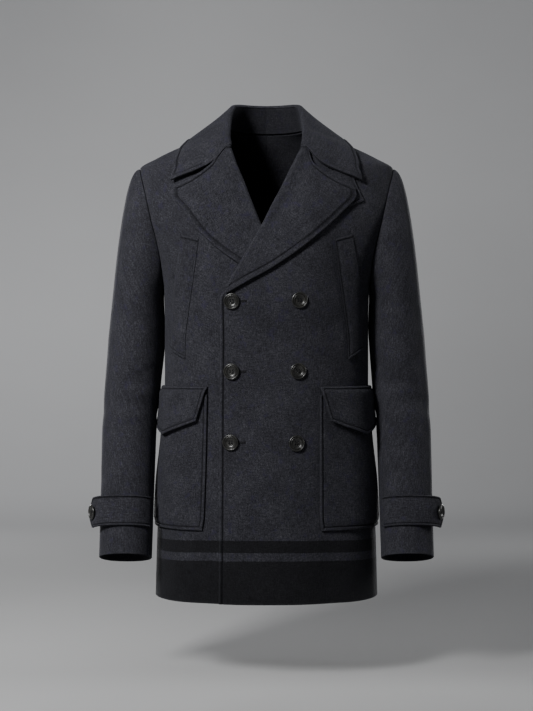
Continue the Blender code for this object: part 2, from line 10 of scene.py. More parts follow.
import bpy
import numpy as np
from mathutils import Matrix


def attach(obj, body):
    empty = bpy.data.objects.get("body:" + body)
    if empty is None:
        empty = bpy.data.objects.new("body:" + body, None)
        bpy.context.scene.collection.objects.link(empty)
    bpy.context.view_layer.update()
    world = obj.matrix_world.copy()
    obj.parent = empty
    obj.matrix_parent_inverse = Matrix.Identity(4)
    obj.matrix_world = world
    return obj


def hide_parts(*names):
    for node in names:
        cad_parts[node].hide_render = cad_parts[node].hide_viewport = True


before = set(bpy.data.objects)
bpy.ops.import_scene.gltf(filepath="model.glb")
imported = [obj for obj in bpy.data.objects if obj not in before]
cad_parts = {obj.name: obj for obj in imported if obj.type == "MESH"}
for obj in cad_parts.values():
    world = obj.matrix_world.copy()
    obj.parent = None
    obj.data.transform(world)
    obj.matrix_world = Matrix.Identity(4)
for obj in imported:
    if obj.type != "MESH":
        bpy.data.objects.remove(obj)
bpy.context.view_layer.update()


# ---------- the wool
# Thick felted wool, woven, milled until the weave hardly shows, and brushed to a short nap. The
# yarns are mixed before spinning, so the cloth is heathered. Two dark bands are woven at the hem.
class Value:
    """One socket of a shader tree. + - * on it add Math nodes, and node() adds any other."""

    def __init__(self, tree, socket=None):
        """The tree, and one socket in it."""
        self.tree, self.socket = tree, socket

    def give(self, place, value):
        """Link this socket to a Value, or set it to a plain value."""
        if isinstance(value, Value):
            self.tree.links.new(value.socket, place)
        else:
            place.default_value = value

    def node(self, kind, sockets={}, settings={}, out=0):
        """A node of this kind: its settings first, then its sockets' values or links."""
        made = self.tree.nodes.new("ShaderNode" + kind)
        for key, value in settings.items():
            if key == "stops":
                ramp = made.color_ramp.elements
                while len(ramp) < len(value):
                    ramp.new(0.5)
                for stop, (at, colour) in zip(ramp, value):
                    stop.position, stop.color = at, (*colour, 1)
            else:
                setattr(made, key, value)
        for key, value in sockets.items():
            self.give(made.inputs[key], value)
        return Value(self.tree, made.outputs[out])

    def math(self, operation, *values):
        """A Math node of this operation on Values or numbers."""
        return self.node("Math", dict(enumerate(values)), {"operation": operation})

    __add__ = __radd__ = lambda self, other: self.math("ADD", self, other)
    __mul__ = __rmul__ = lambda self, other: self.math("MULTIPLY", self, other)
    __sub__ = lambda self, other: self.math("SUBTRACT", self, other)
    __rsub__ = lambda self, other: self.math("SUBTRACT", other, self)

    def smooth(self, start, end):
        """0 below start, 1 above end, smooth between."""
        return self.node("MapRange", {"Value": self, "From Min": start, "From Max": end},
                         {"interpolation_type": "SMOOTHSTEP"})

    def mix(self, other, share):
        """This colour with that share of another."""
        return self.node("Mix", {0: share, 6: self, 7: other},
                         {"data_type": "RGBA", "clamp_factor": True}, out=2)

    def ramp(self, *stops):
        """The colour at this value, between stops that are each a value and a colour."""
        return self.node("ValToRGB", {0: self}, {"stops": stops})

    def noise(self, scale, detail=2, rough=0.5, stretch=(1, 1, 1), warp=0):
        """Noise at this place, after the place is stretched."""
        at = self.node("Mapping", {"Vector": self, "Scale": stretch})
        return self.node("TexNoise", {"Vector": at, "Scale": scale, "Detail": detail,
                                      "Roughness": rough, "Distortion": warp})

    def bump(self, strength, distance):
        """This height as a bump, its distance in metres."""
        return self.node("Bump", {"Strength": strength, "Distance": distance, "Height": self})

    def part(self, number):
        """x, y or z of this place."""
        return self.node("SeparateXYZ", {0: self}, out=number)


def painted(name, paint, *choices):
    """A material whose shader's sockets are what paint gives them, from the place on the piece."""
    material = bpy.data.materials.new(name)
    material.use_nodes = True
    place = Value(material.node_tree).node("TexCoord", out=3)
    shader = material.node_tree.nodes["Principled BSDF"]
    for key, value in paint(place, *choices).items():
        place.give(shader.inputs[key], value)
    return material


def wool(place, banded):
    """Heathered cloth: three sizes of noise shift its blue-grey, stray pale fibres lie over them,
    worn edges are lighter, and painted shade darkens stitched channels, cut edges and inner
    faces. Nap and a faint twill are its bump."""
    along_cloth = place.node("UVMap")
    rub, sunk = (place.node("Attribute", {}, {"attribute_name": label}, out=2)
                 for label in ("rub", "sunk"))
    cloud = place.noise(26)
    heather = place.noise(420, 3, 0.75)
    fibre = place.noise(1200, 2, 0.6, (1, 1, 0.45))
    weft, warp = (along_cloth.noise(1, 2, 0.6, way) for way in ((80, 640, 1), (640, 80, 1)))
    blue = place.noise(60, 4, 0.75).smooth(0.54, 0.68)
    # every noise averages 0.5, so less the weights' own mean this swings about 0
    level = 0.35 * cloud + 1.3 * heather + 0.8 * fibre + 0.75 * (weft + warp) - 1.975
    tint = (level + 0.5).ramp(
        (0.0, (0.0050, 0.0050, 0.0064)), (0.38, (0.0165, 0.0165, 0.0205)),
        (0.62, (0.0275, 0.0275, 0.0335)), (1.0, (0.0600, 0.0600, 0.0700)))
    tint = tint.mix((0.022, 0.0195, 0.043, 1), blue * 0.45)
    if banded:
        across, height = place.part(0), place.part(2)
        # metres above the hem, which hangs lower at the sides, and the bands' soft edges
        above = height + 0.810 + across * across * 0.155 + (place.noise(700, 1) - 0.5) * 0.0022
        wide = above.smooth(0.0735, 0.0725)
        narrow = above.smooth(0.0862, 0.0872) * above.smooth(0.1075, 0.1065)
        deep = (level + 0.42).ramp((0.0, (0.0016, 0.0016, 0.0020)),
                                   (1.0, (0.0115, 0.0116, 0.0132)))
        tint = tint.mix(deep, (wide + narrow) * 0.93)
    tint = tint.mix((0.070, 0.071, 0.082, 1), rub * 0.09)
    # painted shade: stitched channels, cut edges and inner faces darkened
    tint = tint.mix((0.002, 0.002, 0.003, 1), sunk * 0.75)

    thread_way = place.node("Mapping", {"Vector": along_cloth, "Rotation": (0, 0, 0.78)})
    twill = place.node("TexWave", {"Vector": thread_way, "Scale": 118, "Distortion": 2.2,
                                   "Detail": 2, "Detail Scale": 3.0},
                       {"wave_type": "BANDS", "bands_direction": "X"})
    nap = (place.noise(1500, 3, 0.65) * 0.5 + heather * 0.7 + fibre * 0.5 + twill * 0.16
           + (weft + warp) * 0.4)
    return {"Base Color": tint, "Normal": nap.bump(0.75, 0.0009),
            "Roughness": 0.93 - fibre * 0.08, "Specular IOR Level": 0.12, "Sheen Weight": 0.05,
            "Sheen Roughness": 0.5, "Sheen Tint": (0.62, 0.64, 0.74, 1)}


def sewing_thread(place):
    """Twisted thread, a little smoother than the wool and nearly its colour."""
    twist = place.noise(2600)
    tint = twist.ramp((0.25, (0.003, 0.003, 0.004)), (0.8, (0.014, 0.014, 0.017)))
    return {"Base Color": tint, "Normal": twist.bump(0.4, 0.0003), "Roughness": 0.75,
            "Specular IOR Level": 0.2}


PLAIN_WOOL = painted("wool_plain", wool, False)
BANDED_WOOL = painted("wool_banded", wool, True)
THREAD = painted("sewing_thread", sewing_thread)

# ---------- the two fronts
# One panel each, from the shoulder seam round the armhole and down the side seam to the free
# edge. The left laps over the right and is top-stitched just inside its edge.
CLOTH = 3.0  # wall of the coating
FOLD = 1.6  # inside radius where a lapel or the collar turns over
LYING = 2 * FOLD + CLOTH  # how high a turned piece lies on the panel
HEM = -810.0
SHOULDER, UNDERARM = -69.0, -275.0  # outer end of the shoulder seam, foot of the armhole
FRONT_STITCH = 6.5  # how far in the left front's edge is stitched
MM_A_DEGREE = 2.7  # round the body
EDGE = np.array([0, 0.1, 0.3, 0.6, 1.0, 1.5, 2.2, 3.4])  # grid lines beside a turned edge
BEND = np.linspace(0, 1, 14)  # and round a turn

# height, half width a, front depth, back depth, squareness n
TORSO = (
    (6, 46, 44, 52, 2.0),
    (0, 66, 58, 66, 2.0),
    (-8, 88, 61, 69, 2.0),
    (-18, 114, 65, 73, 2.0),
    (-31, 150, 71, 79, 2.0),
    (-52, 194, 82, 88, 2.05),
    (-69, 221, 91, 95, 2.1),
    (-85, 222.5, 99, 100, 2.2),
    (-100, 222, 105, 104.5, 2.3),
    (-130, 220, 114, 111, 2.5),
    (-160, 213.5, 122, 115, 2.6),
    (-200, 200, 128.5, 118, 2.6),
    (-240, 187.5, 132.5, 118, 2.55),
    (-262, 182, 134, 117, 2.5),
    (-275, 179.5, 134.5, 116, 2.5),
    (-300, 178, 134.5, 113.5, 2.45),
    (-340, 177.4, 133, 109, 2.4),
    (-410, 177.4, 130, 103, 2.4),
    (-451, 177.6, 129.5, 105, 2.4),
    (-500, 179, 130, 108, 2.4),
    (-550, 182.5, 131, 111, 2.4),
    (-600, 186, 132, 114, 2.35),
    (-700, 190.5, 134, 119, 2.3),
    (-810, 193.5, 136, 123, 2.3),
)
# height, half width to the armhole seam in front, and behind
ARMHOLE = (
    (-69, 221, 221),
    (-85, 217, 216.5),
    (-100, 213, 211.5),
    (-130, 205.5, 203),
    (-160, 198.5, 196),
    (-200, 188.5, 186.5),
    (-240, 181, 180.5),
    (-262, 179.6, 179.6),
    (-275, 179.5, 179.5),
)
# hanging folds: angle round from the side, width (degrees), fade-in height, full height, depth
HANGS = (
    (52, 12, -330, -700, -3.0),
    (33, 9, -420, -760, 2.5),
    (128, 12, -360, -720, -3.0),
    (147, 9, -440, -770, 2.5),
    (-40, 11, -300, -720, 3.5),
    (-62, 10, -380, -760, -3.0),
    (-118, 10, -340, -740, 3.0),
    (-140, 11, -320, -700, -3.5),
)
# creases: side (0 both), angle (degrees), height, lean from upright (degrees), half length,
# half width, depth
DRAGS = (
    (1, 38, -236, 34, 46, 7, -1.3),
    (1, 30, -262, 48, 34, 6, 1.1),
    (-1, 36, -228, 30, 52, 8, -1.4),
    (-1, 27, -256, 44, 30, 6, 1.2),
    (1, 62, -392, 78, 48, 10, -1.1),
    (-1, 60, -408, 82, 54, 11, -1.2),
    (1, 24, -418, 64, 40, 8, -1.4),
    (-1, 22, -404, 70, 36, 8, -1.3),
    (0, 70, -600, 12, 70, 13, 1.2),
    (1, 44, -560, -8, 80, 12, -1.2),
    (-1, 47, -590, 6, 90, 13, -1.1),
    (1, -34, -246, -40, 48, 8, -1.8),
    (-1, -30, -238, -34, 54, 9, -1.7),
    (1, -48, -282, -58, 42, 9, 1.5),
    (-1, -52, -290, -62, 46, 10, 1.4),
    (1, -30, -404, -72, 52, 10, -1.9),
    (-1, -34, -420, -66, 58, 11, -1.8),
    (1, -66, -150, 72, 60, 14, -1.2),
    (-1, -62, -156, 68, 56, 14, -1.3),
    (0, -76, -470, 14, 80, 14, -1.3),
)


def cubic(t, start, leave, end, arrive):
    """The cubic from start (t = 0) to end (t = 1) with these slopes at its two ends."""
    return ((1 + 2 * t) * (1 - t) ** 2 * start + t * (1 - t) ** 2 * leave
            + t**2 * (3 - 2 * t) * end + t**2 * (t - 1) * arrive)


def along(table, at):
    """A table's columns at places of its first: cubics whose slope at a row is the harmonic mean
    of those beside it."""
    rows = np.array(table, float)
    rows = rows[np.argsort(rows[:, 0])]
    x, y = rows[:, 0], rows[:, 1:]
    step = np.diff(x)[:, None]
    rise = np.diff(y, axis=0) / step
    both = rise[:-1] * rise[1:]
    total = np.where(both > 0, rise[:-1] + rise[1:], 1)
    slope = np.vstack([rise[:1], np.where(both > 0, 2 * both / total, 0), rise[-1:]])
    at = np.clip(np.asarray(at, float), x[0], x[-1])
    i = np.clip(np.searchsorted(x, at) - 1, 0, len(x) - 2)
    h = step[i]
    t = (at - x[i])[..., None] / h
    return cubic(t, y[i], h * slope[i], y[i + 1], h * slope[i + 1])


def by_row(table, at):
    """A table's columns at row numbers, also between rows."""
    return along([(i, *row) for i, row in enumerate(table)], at)


def ease(start, end, at):
    """0 at start, 1 at end, level at both."""
    t = np.clip((np.asarray(at, float) - start) / (end - start), 0, 1)
    return t * t * (3 - 2 * t)


def bell(x, width):
    """A Gaussian, 1 at x = 0."""
    return np.exp(-((x / width) ** 2))


def unit(v):
    """Vectors shortened to length 1."""
    return v / np.linalg.norm(v, axis=-1, keepdims=True)


def squashed(x, y, n):
    """(|x|^n + |y|^n)^(1/n), 1 all round a unit super-ellipse."""
    return (np.abs(x) ** n + np.abs(y) ** n) ** (1 / n)


def ring(z, angle, side=1):
    """The body's outer cloth at height z and angle: 0 its side, 90 degrees the front. Its radius
    is the super-ellipse's, plus each fold's Gaussian."""
    a, front, back, n = np.moveaxis(along(TORSO, z), -1, 0)
    c, s = np.cos(angle), np.sin(angle)
    r = 1 / squashed(c / a, s / np.where(s > 0, front, back), n)
    degrees = (np.degrees(angle) + 180) % 360 - 180
    for middle, width, start, full, depth in HANGS:
        r = r + depth * bell(degrees - middle, width) * ease(start, full, z)
    for only, middle, height, lean, long, wide, depth in DRAGS:
        if only in (0, side):
            across, up = (degrees - middle) * MM_A_DEGREE, z - height
            c1, s1 = np.cos(np.radians(lean)), np.sin(np.radians(lean))
            r = r + depth * bell(up * c1 + across * s1, long) * bell(across * c1 - up * s1, wide)
    return np.stack([r * c, -r * s, np.broadcast_to(z, r.shape)], -1)


def moved_out(form, z, angle, lift, side, up=0.8, round_it=0.006):
    """A place on a form moved out along its normal, the cross product of short steps up it (mm)
    and round it (radians)."""
    rise = form(z + up, angle, side) - form(z - up, angle, side)
    way = form(z, angle + round_it, side) - form(z, angle - round_it, side)
    return form(z, angle, side) + unit(np.cross(rise, way)) * np.asarray(lift, float)[..., None]


def body(z, angle, lift, side=1):
    """A place on the body this far out from its cloth's outer face."""
    z, angle = np.broadcast_arrays(np.asarray(z, float), np.asarray(angle, float))
    return moved_out(ring, z, angle, lift, side)


def laid(z, angle, height, side):
    """Both faces of a cloth whose outer face is this far out on the body."""
    return body(z, angle, height, side), body(z, angle, height - CLOTH, side)


def depth_at(z, x, front):
    """How far forward or back the body's cloth is at this x: b (1 - |x/a|^n)^(1/n)."""
    a, deep, back, n = np.moveaxis(along(TORSO, z), -1, 0)
    return np.where(front, deep, back) * np.clip(1 - np.abs(x / a) ** n, 0, None) ** (1 / n)


def angle_at(z, x, front=True):
    """Angle round the body at which its cloth has this x."""
    y = depth_at(z, x, front)
    return np.arctan2(y if front else -y, x)


def on_front(x, z, lift, side=1):
    """A place on the body's front half, by its x and height."""
    return body(z, angle_at(z, x), lift, side)


def stations(length, first, last, count):
    """Shares of each length: at these distances from its two ends, and evenly between them. On a
    short length each end's distances shrink to 0.42 of it."""
    length = np.asarray(length, float)[..., None]
    first = np.asarray(first) * np.minimum(1, 0.42 * length / first[-1])
    last = np.asarray(last) * np.minimum(1, 0.42 * length / last[-1])
    a, b = first[..., -1:], last[..., -1:]
    middle = a + (length - a - b) * np.linspace(0, 1, count + 2)[1:-1]
    return np.concatenate([first, middle, length - last[..., ::-1]], -1) / length


def running(points, axis):
    """How far each point lies from the first along an axis of the grid: its steps' sum."""
    steps = np.linalg.norm(np.diff(points, axis=axis), axis=-1)
    return np.insert(np.cumsum(steps, axis=axis), 0, 0, axis=axis)


def look_up(want, run, values, apart=1e5):
    """Row by row, the values at the wanted lengths. Rows are moved apart by more than any cloth
    is long, so that one look-up serves them all."""
    shift = apart * np.arange(len(run))[:, None]
    found = np.interp((want + shift).ravel(), (run + shift).ravel(), values.ravel())
    return found.reshape(want.shape)


def between(z, start, end, first, last, count, fineness=220):
    """Angles round the body at each height, from start to end, by length along the cloth."""
    fine = start[:, None] + (end - start)[:, None] * np.linspace(0, 1, fineness)
    run = running(ring(z[:, None] + 0 * fine, fine), 1)
    return look_up(stations(run[:, -1], first, last, count) * run[:, -1:], run, fine)


def edge_runs(face):
    """How far each point lies, along the cloth, from the first and last column and row."""
    across, down = running(face, 1), running(face, 0)
    return {"first": across, "last": across[:, -1:] - across, "top": down, "foot": down[-1:] - down}


def in_scene(name, data):
    """An object with this mesh, lamp or camera, linked to the scene."""
    thing = bpy.data.objects.new(name, data)
    bpy.context.scene.collection.objects.link(thing)
    return thing


def put(name, points, faces, material, slot=None):
    """A smooth mesh of these points (mm) and faces, at the origin. With a slot it is a piece of
    the coat, and rides on it."""
    mesh = bpy.data.meshes.new(name)
    mesh.from_pydata((points * 0.001).tolist(), [], faces.tolist())
    mesh.polygons.foreach_set("use_smooth", np.ones(len(mesh.polygons), bool))
    mesh.materials.append(material)
    thing = in_scene(name, mesh)
    if slot:
        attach(thing, "root")
    return thing


def joined(parts):
    """Several (points, faces) as one."""
    starts = np.cumsum([0, *[len(points) for points, _ in parts]])
    return (np.concatenate([points for points, _ in parts]),
            np.concatenate([faces + start for (_, faces), start in zip(parts, starts)]))


def round_faces(rings, count):
    """Quads over a grid of rings, each closed on itself, and a ladder of quads over each end."""
    i = np.arange(rings * count).reshape(rings, count)
    j = np.roll(i, -1, 1)
    a = np.arange(count // 2 - 1)
    ladder = np.stack([a, a + 1, count - 2 - a, count - 1 - a], -1)
    sides = np.stack([i[:-1], j[:-1], j[1:], i[1:]], -1).reshape(-1, 4)
    return np.concatenate([sides, i[0][ladder[:, ::-1]], i[-1][ladder]])


def turns(count):
    """Angles of this many even steps round a circle."""
    return np.arange(count) * 2 * np.pi / count


def stitches(path, out, side, pitch=4.2, long=3.3, thick=0.46, rings=5, count=6):
    """A row of stitches: at even steps along a path, a short spindle whose radius goes as a
    cosine, and whose two ends dip into the cloth as the fourth power."""
    run = running(path, 0)
    middles = np.arange(pitch, run[-1] - pitch / 2, pitch)
    at_run = lambda at, field: np.stack([np.interp(at, run, c) for c in field.T], -1)
    share = np.linspace(-1, 1, rings)
    at = middles[:, None] + share * long / 2
    up = unit(at_run(at, out))
    across = np.cross(unit(at_run(at + 0.2, path) - at_run(at - 0.2, path)), up)
    centre = at_run(at, path) + up * (0.30 - 0.55 * share**4)[:, None]
    turn = turns(count)[:, None]
    radius = thick * (0.25 + 0.75 * np.cos(share * np.pi / 2))[:, None, None]
    about = up[:, :, None] * np.cos(turn) * 0.7 + across[:, :, None] * np.sin(turn)
    points = (centre[:, :, None] + about * radius).reshape(-1, 3) * (side, 1, 1)
    starts = rings * count * np.arange(len(middles))[:, None, None]
    return points, (starts + round_faces(rings, count)).reshape(-1, 4)[:, ::side]


def hand(side):
    """The name of a side: 1 the wearer's left, -1 the right."""
    return "left" if side > 0 else "right"


def quarter_round(nearest, radius):
    """How far a face drops towards its edge: a quarter circle of this radius."""
    return radius * (np.sqrt(1 - (1 - np.clip(nearest / radius, 0, 1)) ** 2) - 1)


def stitch_path(edge, at, where, insets, runs, front, out):
    """Places this far in from an edge, and the way out there, looked up row by row, where the
    stitching runs and no row along another edge cuts it off."""
    shown = np.broadcast_to(where, front.shape[:2])
    field = np.stack([*np.moveaxis(front, -1, 0), *np.moveaxis(out, -1, 0), shown,
                      *runs.values()], -1)
    gap = runs[edge]
    if edge in ("top", "foot"):
        field, gap = field.transpose(1, 0, 2), gap.T
    if edge in ("last", "foot"):
        field, gap = field[:, ::-1], gap[:, ::-1]
    want = np.full((len(gap), 1), at)
    path = np.concatenate([look_up(want, gap, one) for one in np.moveaxis(field, -1, 0)], 1)
    kept = (gap.max(1) > at + 1) & (path[:, 6] > 0.5)
    for column, other in enumerate(runs, 7):
        if other in insets and other != edge:
            kept &= path[:, column] > insets[other] - 0.4
    return path[kept, :3], path[kept, 3:6]


def cloth(node, outer, inner, side, stitched, cut, held="hung", rests_on=(), material=PLAIN_WOOL,
          more=0.0, inside=0.75):
    """A closed cloth between an outer and an inner grid of points, more thicker where it is two
    layers. The faces meet in quarter circles at the edges. Each row of stitched names an edge, how
    far in the stitching lies, how deep it pulls the cloth and where, if not all along; outside it
    the cloth stands up as a border. cut, flat width, length and area in metres, is not used. The
    inner face is darkened by inside, as painted shade."""
    through = outer - inner
    thick = np.linalg.norm(through, axis=-1)
    out = through / thick[..., None]
    runs = edge_runs(outer)
    nearest = np.minimum.reduce([*runs.values()])
    stitched = [(*row, 1.0)[:4] for row in stitched]
    insets = {edge: at for edge, at, *_ in stitched}
    border, groove, sunk = np.zeros((3, *thick.shape))
    for edge, at, deep, where in stitched:
        kept = np.broadcast_to(where, thick.shape)
        for other, inset in insets.items():
            if other != edge:
                kept = kept * ease(inset - 1.6, inset - 0.2, runs[other])
        gap = runs[edge] - at
        line = bell(gap, 1.2) * kept
        groove = np.maximum(groove, deep * line)
        border = np.maximum(border, 0.9 * deep * ease(0.5, -1.9, gap) * kept)
        # painted shade along each stitched channel
        sunk = np.maximum(sunk, line * min(1, deep))
    relief = more + border - groove
    front = outer + out * (relief + quarter_round(nearest, 0.5 * (thick + relief)))[..., None]
    behind = inner - out * quarter_round(nearest, 0.35 * thick)[..., None]

    i = np.arange(thick.size).reshape(thick.shape)
    quads = np.stack([i[:-1, :-1], i[:-1, 1:], i[1:, 1:], i[1:, :-1]], -1).reshape(-1, 4)
    edge_line = np.concatenate([i[0, :-1], i[:-1, -1], i[-1, :0:-1], i[:0:-1, 0]])
    after = np.roll(edge_line, -1)
    rim = np.stack([after, edge_line, edge_line + i.size, after + i.size], -1)
    faces = np.concatenate([quads, quads[:, ::-1] + i.size, rim])
    r, c = (size // 2 for size in thick.shape)
    facing = np.cross(front[r, c + 1] - front[r, c], front[r, c] - front[r - 1, c])
    if (facing @ out[r, c] > 0) == (side > 0):
        faces = faces[:, ::-1]
    points = np.concatenate([front.reshape(-1, 3), behind.reshape(-1, 3)]) * (side, 1, 1)
    thing = put(f"{node}_cloth", points, faces, material, "wool")
    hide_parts(node)

    mesh = thing.data
    worn = bell(nearest - 1.5, 0.9)
    # painted shade at the cut edges
    sunk = np.maximum(sunk, bell(nearest, 0.5))
    # the inner face gets painted shade, as dark as inside gives
    for label, shown, hidden in (("rub", worn, worn), ("sunk", sunk, 0 * sunk + inside)):
        value = np.concatenate([shown.ravel(), hidden.ravel()]).astype("f")
        mesh.attributes.new(label, "FLOAT", "POINT").data.foreach_set("value", value)
    corner = np.zeros(len(mesh.loops), int)
    mesh.loops.foreach_get("vertex_index", corner)
    flat = np.stack([runs["first"].ravel(), runs["top"].ravel()], -1) * 0.001
    mesh.uv_layers.new(name="cloth").data.foreach_set("uv", np.tile(flat, (2, 1))[corner].ravel())

    sewn = []
    for edge, at, _, where in stitched:
        path, up = stitch_path(edge, at, where, insets, runs, front, out)
        if len(path) > 3:
            sewn.append(stitches(path, up, side))
    with_pieces = [put(f"{node}_thread", *joined(sewn), THREAD, "wool")] if sewn else []


def beside(at):
    """Grid lines beside an edge that is stitched this far in."""
    return np.concatenate([EDGE[:-1], at + np.array([-2.6, -1.5, -0.8, -0.3, 0.2, 0.8, 1.6, 3.0])])


# A lapel, from its top row at the gorge to the break: turn line, middle and outer edge, each as
# x towards its own side and height
LEFT_LAPEL = (
    (58.0, -42.0, 86.9, -79.9, 147.7, -113.3),
    (41.8, -74.6, 86.6, -104.7, 149.3, -127.4),
    (24.3, -111.7, 66.1, -136.1, 122.8, -157.5),
    (5.9, -148.8, 42.5, -167.0, 89.1, -189.3),
    (-7.5, -176.9, 22.5, -196.0, 55.7, -217.9),
    (-27.5, -212.3, -9.1, -231.4, 10.0, -250.2),
    (-49.1, -249.8, -43.5, -262.5, -38.0, -276.5),
    (-66.8, -280.9, -65.3, -286.6, -64.5, -292.1),
)
RIGHT_LAPEL = (
    (58.5, -42.0, 102.2, -82.3, 158.0, -112.0),
    (49.9, -69.1, 98.4, -106.2, 157.1, -126.2),
    (36.1, -103.0, 79.5, -134.2, 136.8, -152.0),
    (21.8, -141.1, 57.5, -166.9, 110.3, -188.3),
    (7.5, -176.9, 39.1, -197.4, 79.3, -217.3),
    (-5.8, -212.3, 17.4, -225.9, 43.5, -243.4),
    (-24.1, -249.1, -9.1, -256.0, 7.5, -266.0),
    (-50.4, -280.6, -43.7, -283.3, -35.4, -287.5),
)
# front edges under the break, as height and x towards the front's own side
LEFT_EDGE = ((-296, -75.4), (-320, -75.9), (-560, -78.5), (-810, -80))
RIGHT_EDGE = ((-300, -62), (-330, -68), (-810, -70))


def front_edge(lapel, edge, z):
    """x of a front's free edge: neckline, then inside the turn line, then the front edge."""
    neck = ((0, 66), (-14, 67), (-28, 66.5), (lapel[0][1], lapel[0][0] + 5.9))
    table = [*neck, *[(row[1], row[0] + 6.1) for row in lapel[1:]], *edge]
    return along(table, z)[..., 0]


def over_lift(x, z):
    """The left front lies over the right one, and higher where the right lapel is between."""
    overlap = ease(-140, -200, z) * (1 - ease(70, 128, x))
    bulk = ease(-105, -163, z) * (1 - ease(-296, -372, z)) * (1 - ease(64, 138, x))
    return (CLOTH + 1) * overlap + (LYING + 0.6) * bulk


def no_lift(x, z):
    """The right front lies on nothing."""
    return 0 * x


def seam_angle(z, front):
    """Angle of a panel's side edge: the armhole's from its table, and 0 above and below it."""
    x = along(ARMHOLE, z)[..., 0 if front else 1]
    return np.where((z < SHOULDER) & (z > UNDERARM), np.abs(angle_at(z, x, front)), 0)


def panel_heights(top):
    """Heights of a front's or back's grid rows: close at the neck and hem, where it turns in."""
    return np.concatenate([top - EDGE[:6] * 0.8, np.linspace(top - 4, SHOULDER, 30),
                           np.linspace(SHOULDER - 3, UNDERARM, 52)[:-1],
                           np.linspace(UNDERARM, HEM + 7, 98), HEM + EDGE[::-1]])


for side, lapel, edge, lift, cut in (
    (1, LEFT_LAPEL, LEFT_EDGE, over_lift, (0.325, 0.832, 0.2395)),
    (-1, RIGHT_LAPEL, RIGHT_EDGE, no_lift, (0.320, 0.832, 0.2280)),
):
    heights = panel_heights(-2.5)
    free = angle_at(heights, front_edge(lapel, edge, heights))
    last = beside(FRONT_STITCH) if side > 0 else EDGE
    angle = between(heights, seam_angle(heights, True), free, EDGE, last, 46)
    z = heights[:, None] + 0 * angle
    height = lift(ring(z, angle)[..., 0], z)
    rows = [("last", FRONT_STITCH, 1.6, ease(-290, -300, z))] if side > 0 else []
    cloth(f"front_{hand(side)}", *laid(z, angle, height, side), side, rows, cut,
          rests_on=["front_right"] if side > 0 else [], material=BANDED_WOOL)


# ---------- the back
# Two halves joined down the middle. They meet the fronts at the shoulder and side seams and carry
# the back of each armhole.
for side in (1, -1):
    heights = panel_heights(0.0)
    middle = np.full(len(heights), -np.pi / 2)
    angle = between(heights, middle, -seam_angle(heights, False), EDGE, EDGE, 34)
    z = heights[:, None] + 0 * angle
    cloth(f"back_{hand(side)}", *laid(z, angle, 0 * z, side), side, (), (0.275, 0.834, 0.1920),
          material=BANDED_WOOL)


# ---------- the lapels
# The top of each front turned over along its roll line. The cloth rolls round itself, springs a
# little at the chest and is top-stitched a finger's width inside its edge.
ROLL = FOLD + CLOTH  # outside radius of a turn
LAPEL_LENGTH = 255.0  # down its roll line
LAPEL_STITCH, TOP_STITCH = 10.0, 7.0  # how far in its outer and its top edge are stitched


def turned_over(start, forward, up, radius, turn):
    """Points round folds that leave start along forward and bend towards up: start, lifted by
    the radius, less the radius turned through each angle."""
    start, forward, up = start[:, None], forward[:, None], up[:, None]
    b = turn[..., None]
    return start + up * radius - radius * (up * np.cos(b) - forward * np.sin(b))


for side, lapel, lift, cut in (
    (1, LEFT_LAPEL, over_lift, (0.150, 0.270, 0.0231)),
    (-1, RIGHT_LAPEL, no_lift, (0.150, 0.270, 0.0230)),
):
    last_row = len(lapel) - 1
    near = EDGE / LAPEL_LENGTH * last_row
    down = np.concatenate([near[:-1], np.arange(0.08, 0.9, 0.02), np.linspace(0.91, 6.9, 64),
                           last_row - near[4::-1]])
    at = by_row(lapel, down)
    rise = 3.0 * (1 - ease(0, 0.5, down))
    turn_x = at[:, 0] + np.where(down < 0.5, 5.9 + 0.4 * down, 6.1) + 0.5 * rise
    turn_z = at[:, 1] + rise
    line = on_front(turn_x, turn_z, lift(turn_x, turn_z), side)
    up = on_front(turn_x, turn_z, lift(turn_x, turn_z) + 1, side) - line
    forward = unit(np.cross(unit(np.gradient(line, axis=0)), up))
    forward = forward * np.sign(-forward[:, :1])
    reach = np.hypot(at[:, 4] - at[:, 0], at[:, 5] - at[:, 1])
    t = stations(reach, [3.0, 6.0], beside(LAPEL_STITCH), 20)
    x0, z0, x1, z1, x2, z2 = (c[:, None] for c in (turn_x, turn_z, *at.T[2:]))
    share = ((1 - t) * (1 - 2 * t), 4 * t * (1 - t), t * (2 * t - 1))
    tucked = 6.0 * (1 - ease(0.12, 0.42, t)) * (1 - ease(0, 0.7, down[:, None]))
    x, z = (x0 * share[0] + x1 * share[1] + x2 * share[2] + 0.79 * tucked,
            z0 * share[0] + z1 * share[1] + z2 * share[2] + 0.61 * tucked)
    spring = 2.0 * t * (1 - ease(-125, -185, z))
    if side > 0:
        dip = bell(t - 0.2, 0.13) * ease(0, 0.1, t)
        spring = spring - 2.2 * dip * ease(-230, -140, z)
    else:
        spring = spring + 1.6 * np.sin(np.pi * np.clip(t, 0, 1)) ** 2 * ease(-280, -200, z)
    bend = np.pi * BEND + 0 * turn_x[:, None]
    faces = []
    for wall in (0, CLOTH):
        start = line - up * (CLOTH - wall)
        arc = turned_over(start, forward, up, ROLL - wall, bend)
        lying = on_front(x, z, lift(x, z) + LYING + spring - wall, side)
        faces.append(np.concatenate([arc, lying], 1))
    cloth(f"lapel_{hand(side)}", *faces, side,
          [("last", LAPEL_STITCH, 1.3), ("top", TOP_STITCH, 1.0)], cut, "folded",
          [f"front_{hand(side)}"], more=0.8)


# ---------- the collar
# One broad piece from gorge to gorge round the neck. It stands, turns over and falls on the
# shoulders, and its two points hang free over the lapels. A narrow stand holds it up inside.
COLLAR_HALF = 330.0  # from its front edge to the centre back
COLLAR_STITCH = 7.0
# the front end along the gorge seam and then free: share of its length, x, height
GORGE = (
    (0, 66, -42), (0.15, 72, -59), (0.3, 84, -71.5), (0.55, 110, -84), (0.8, 138, -92),
    (1, 159, -97.5),
)
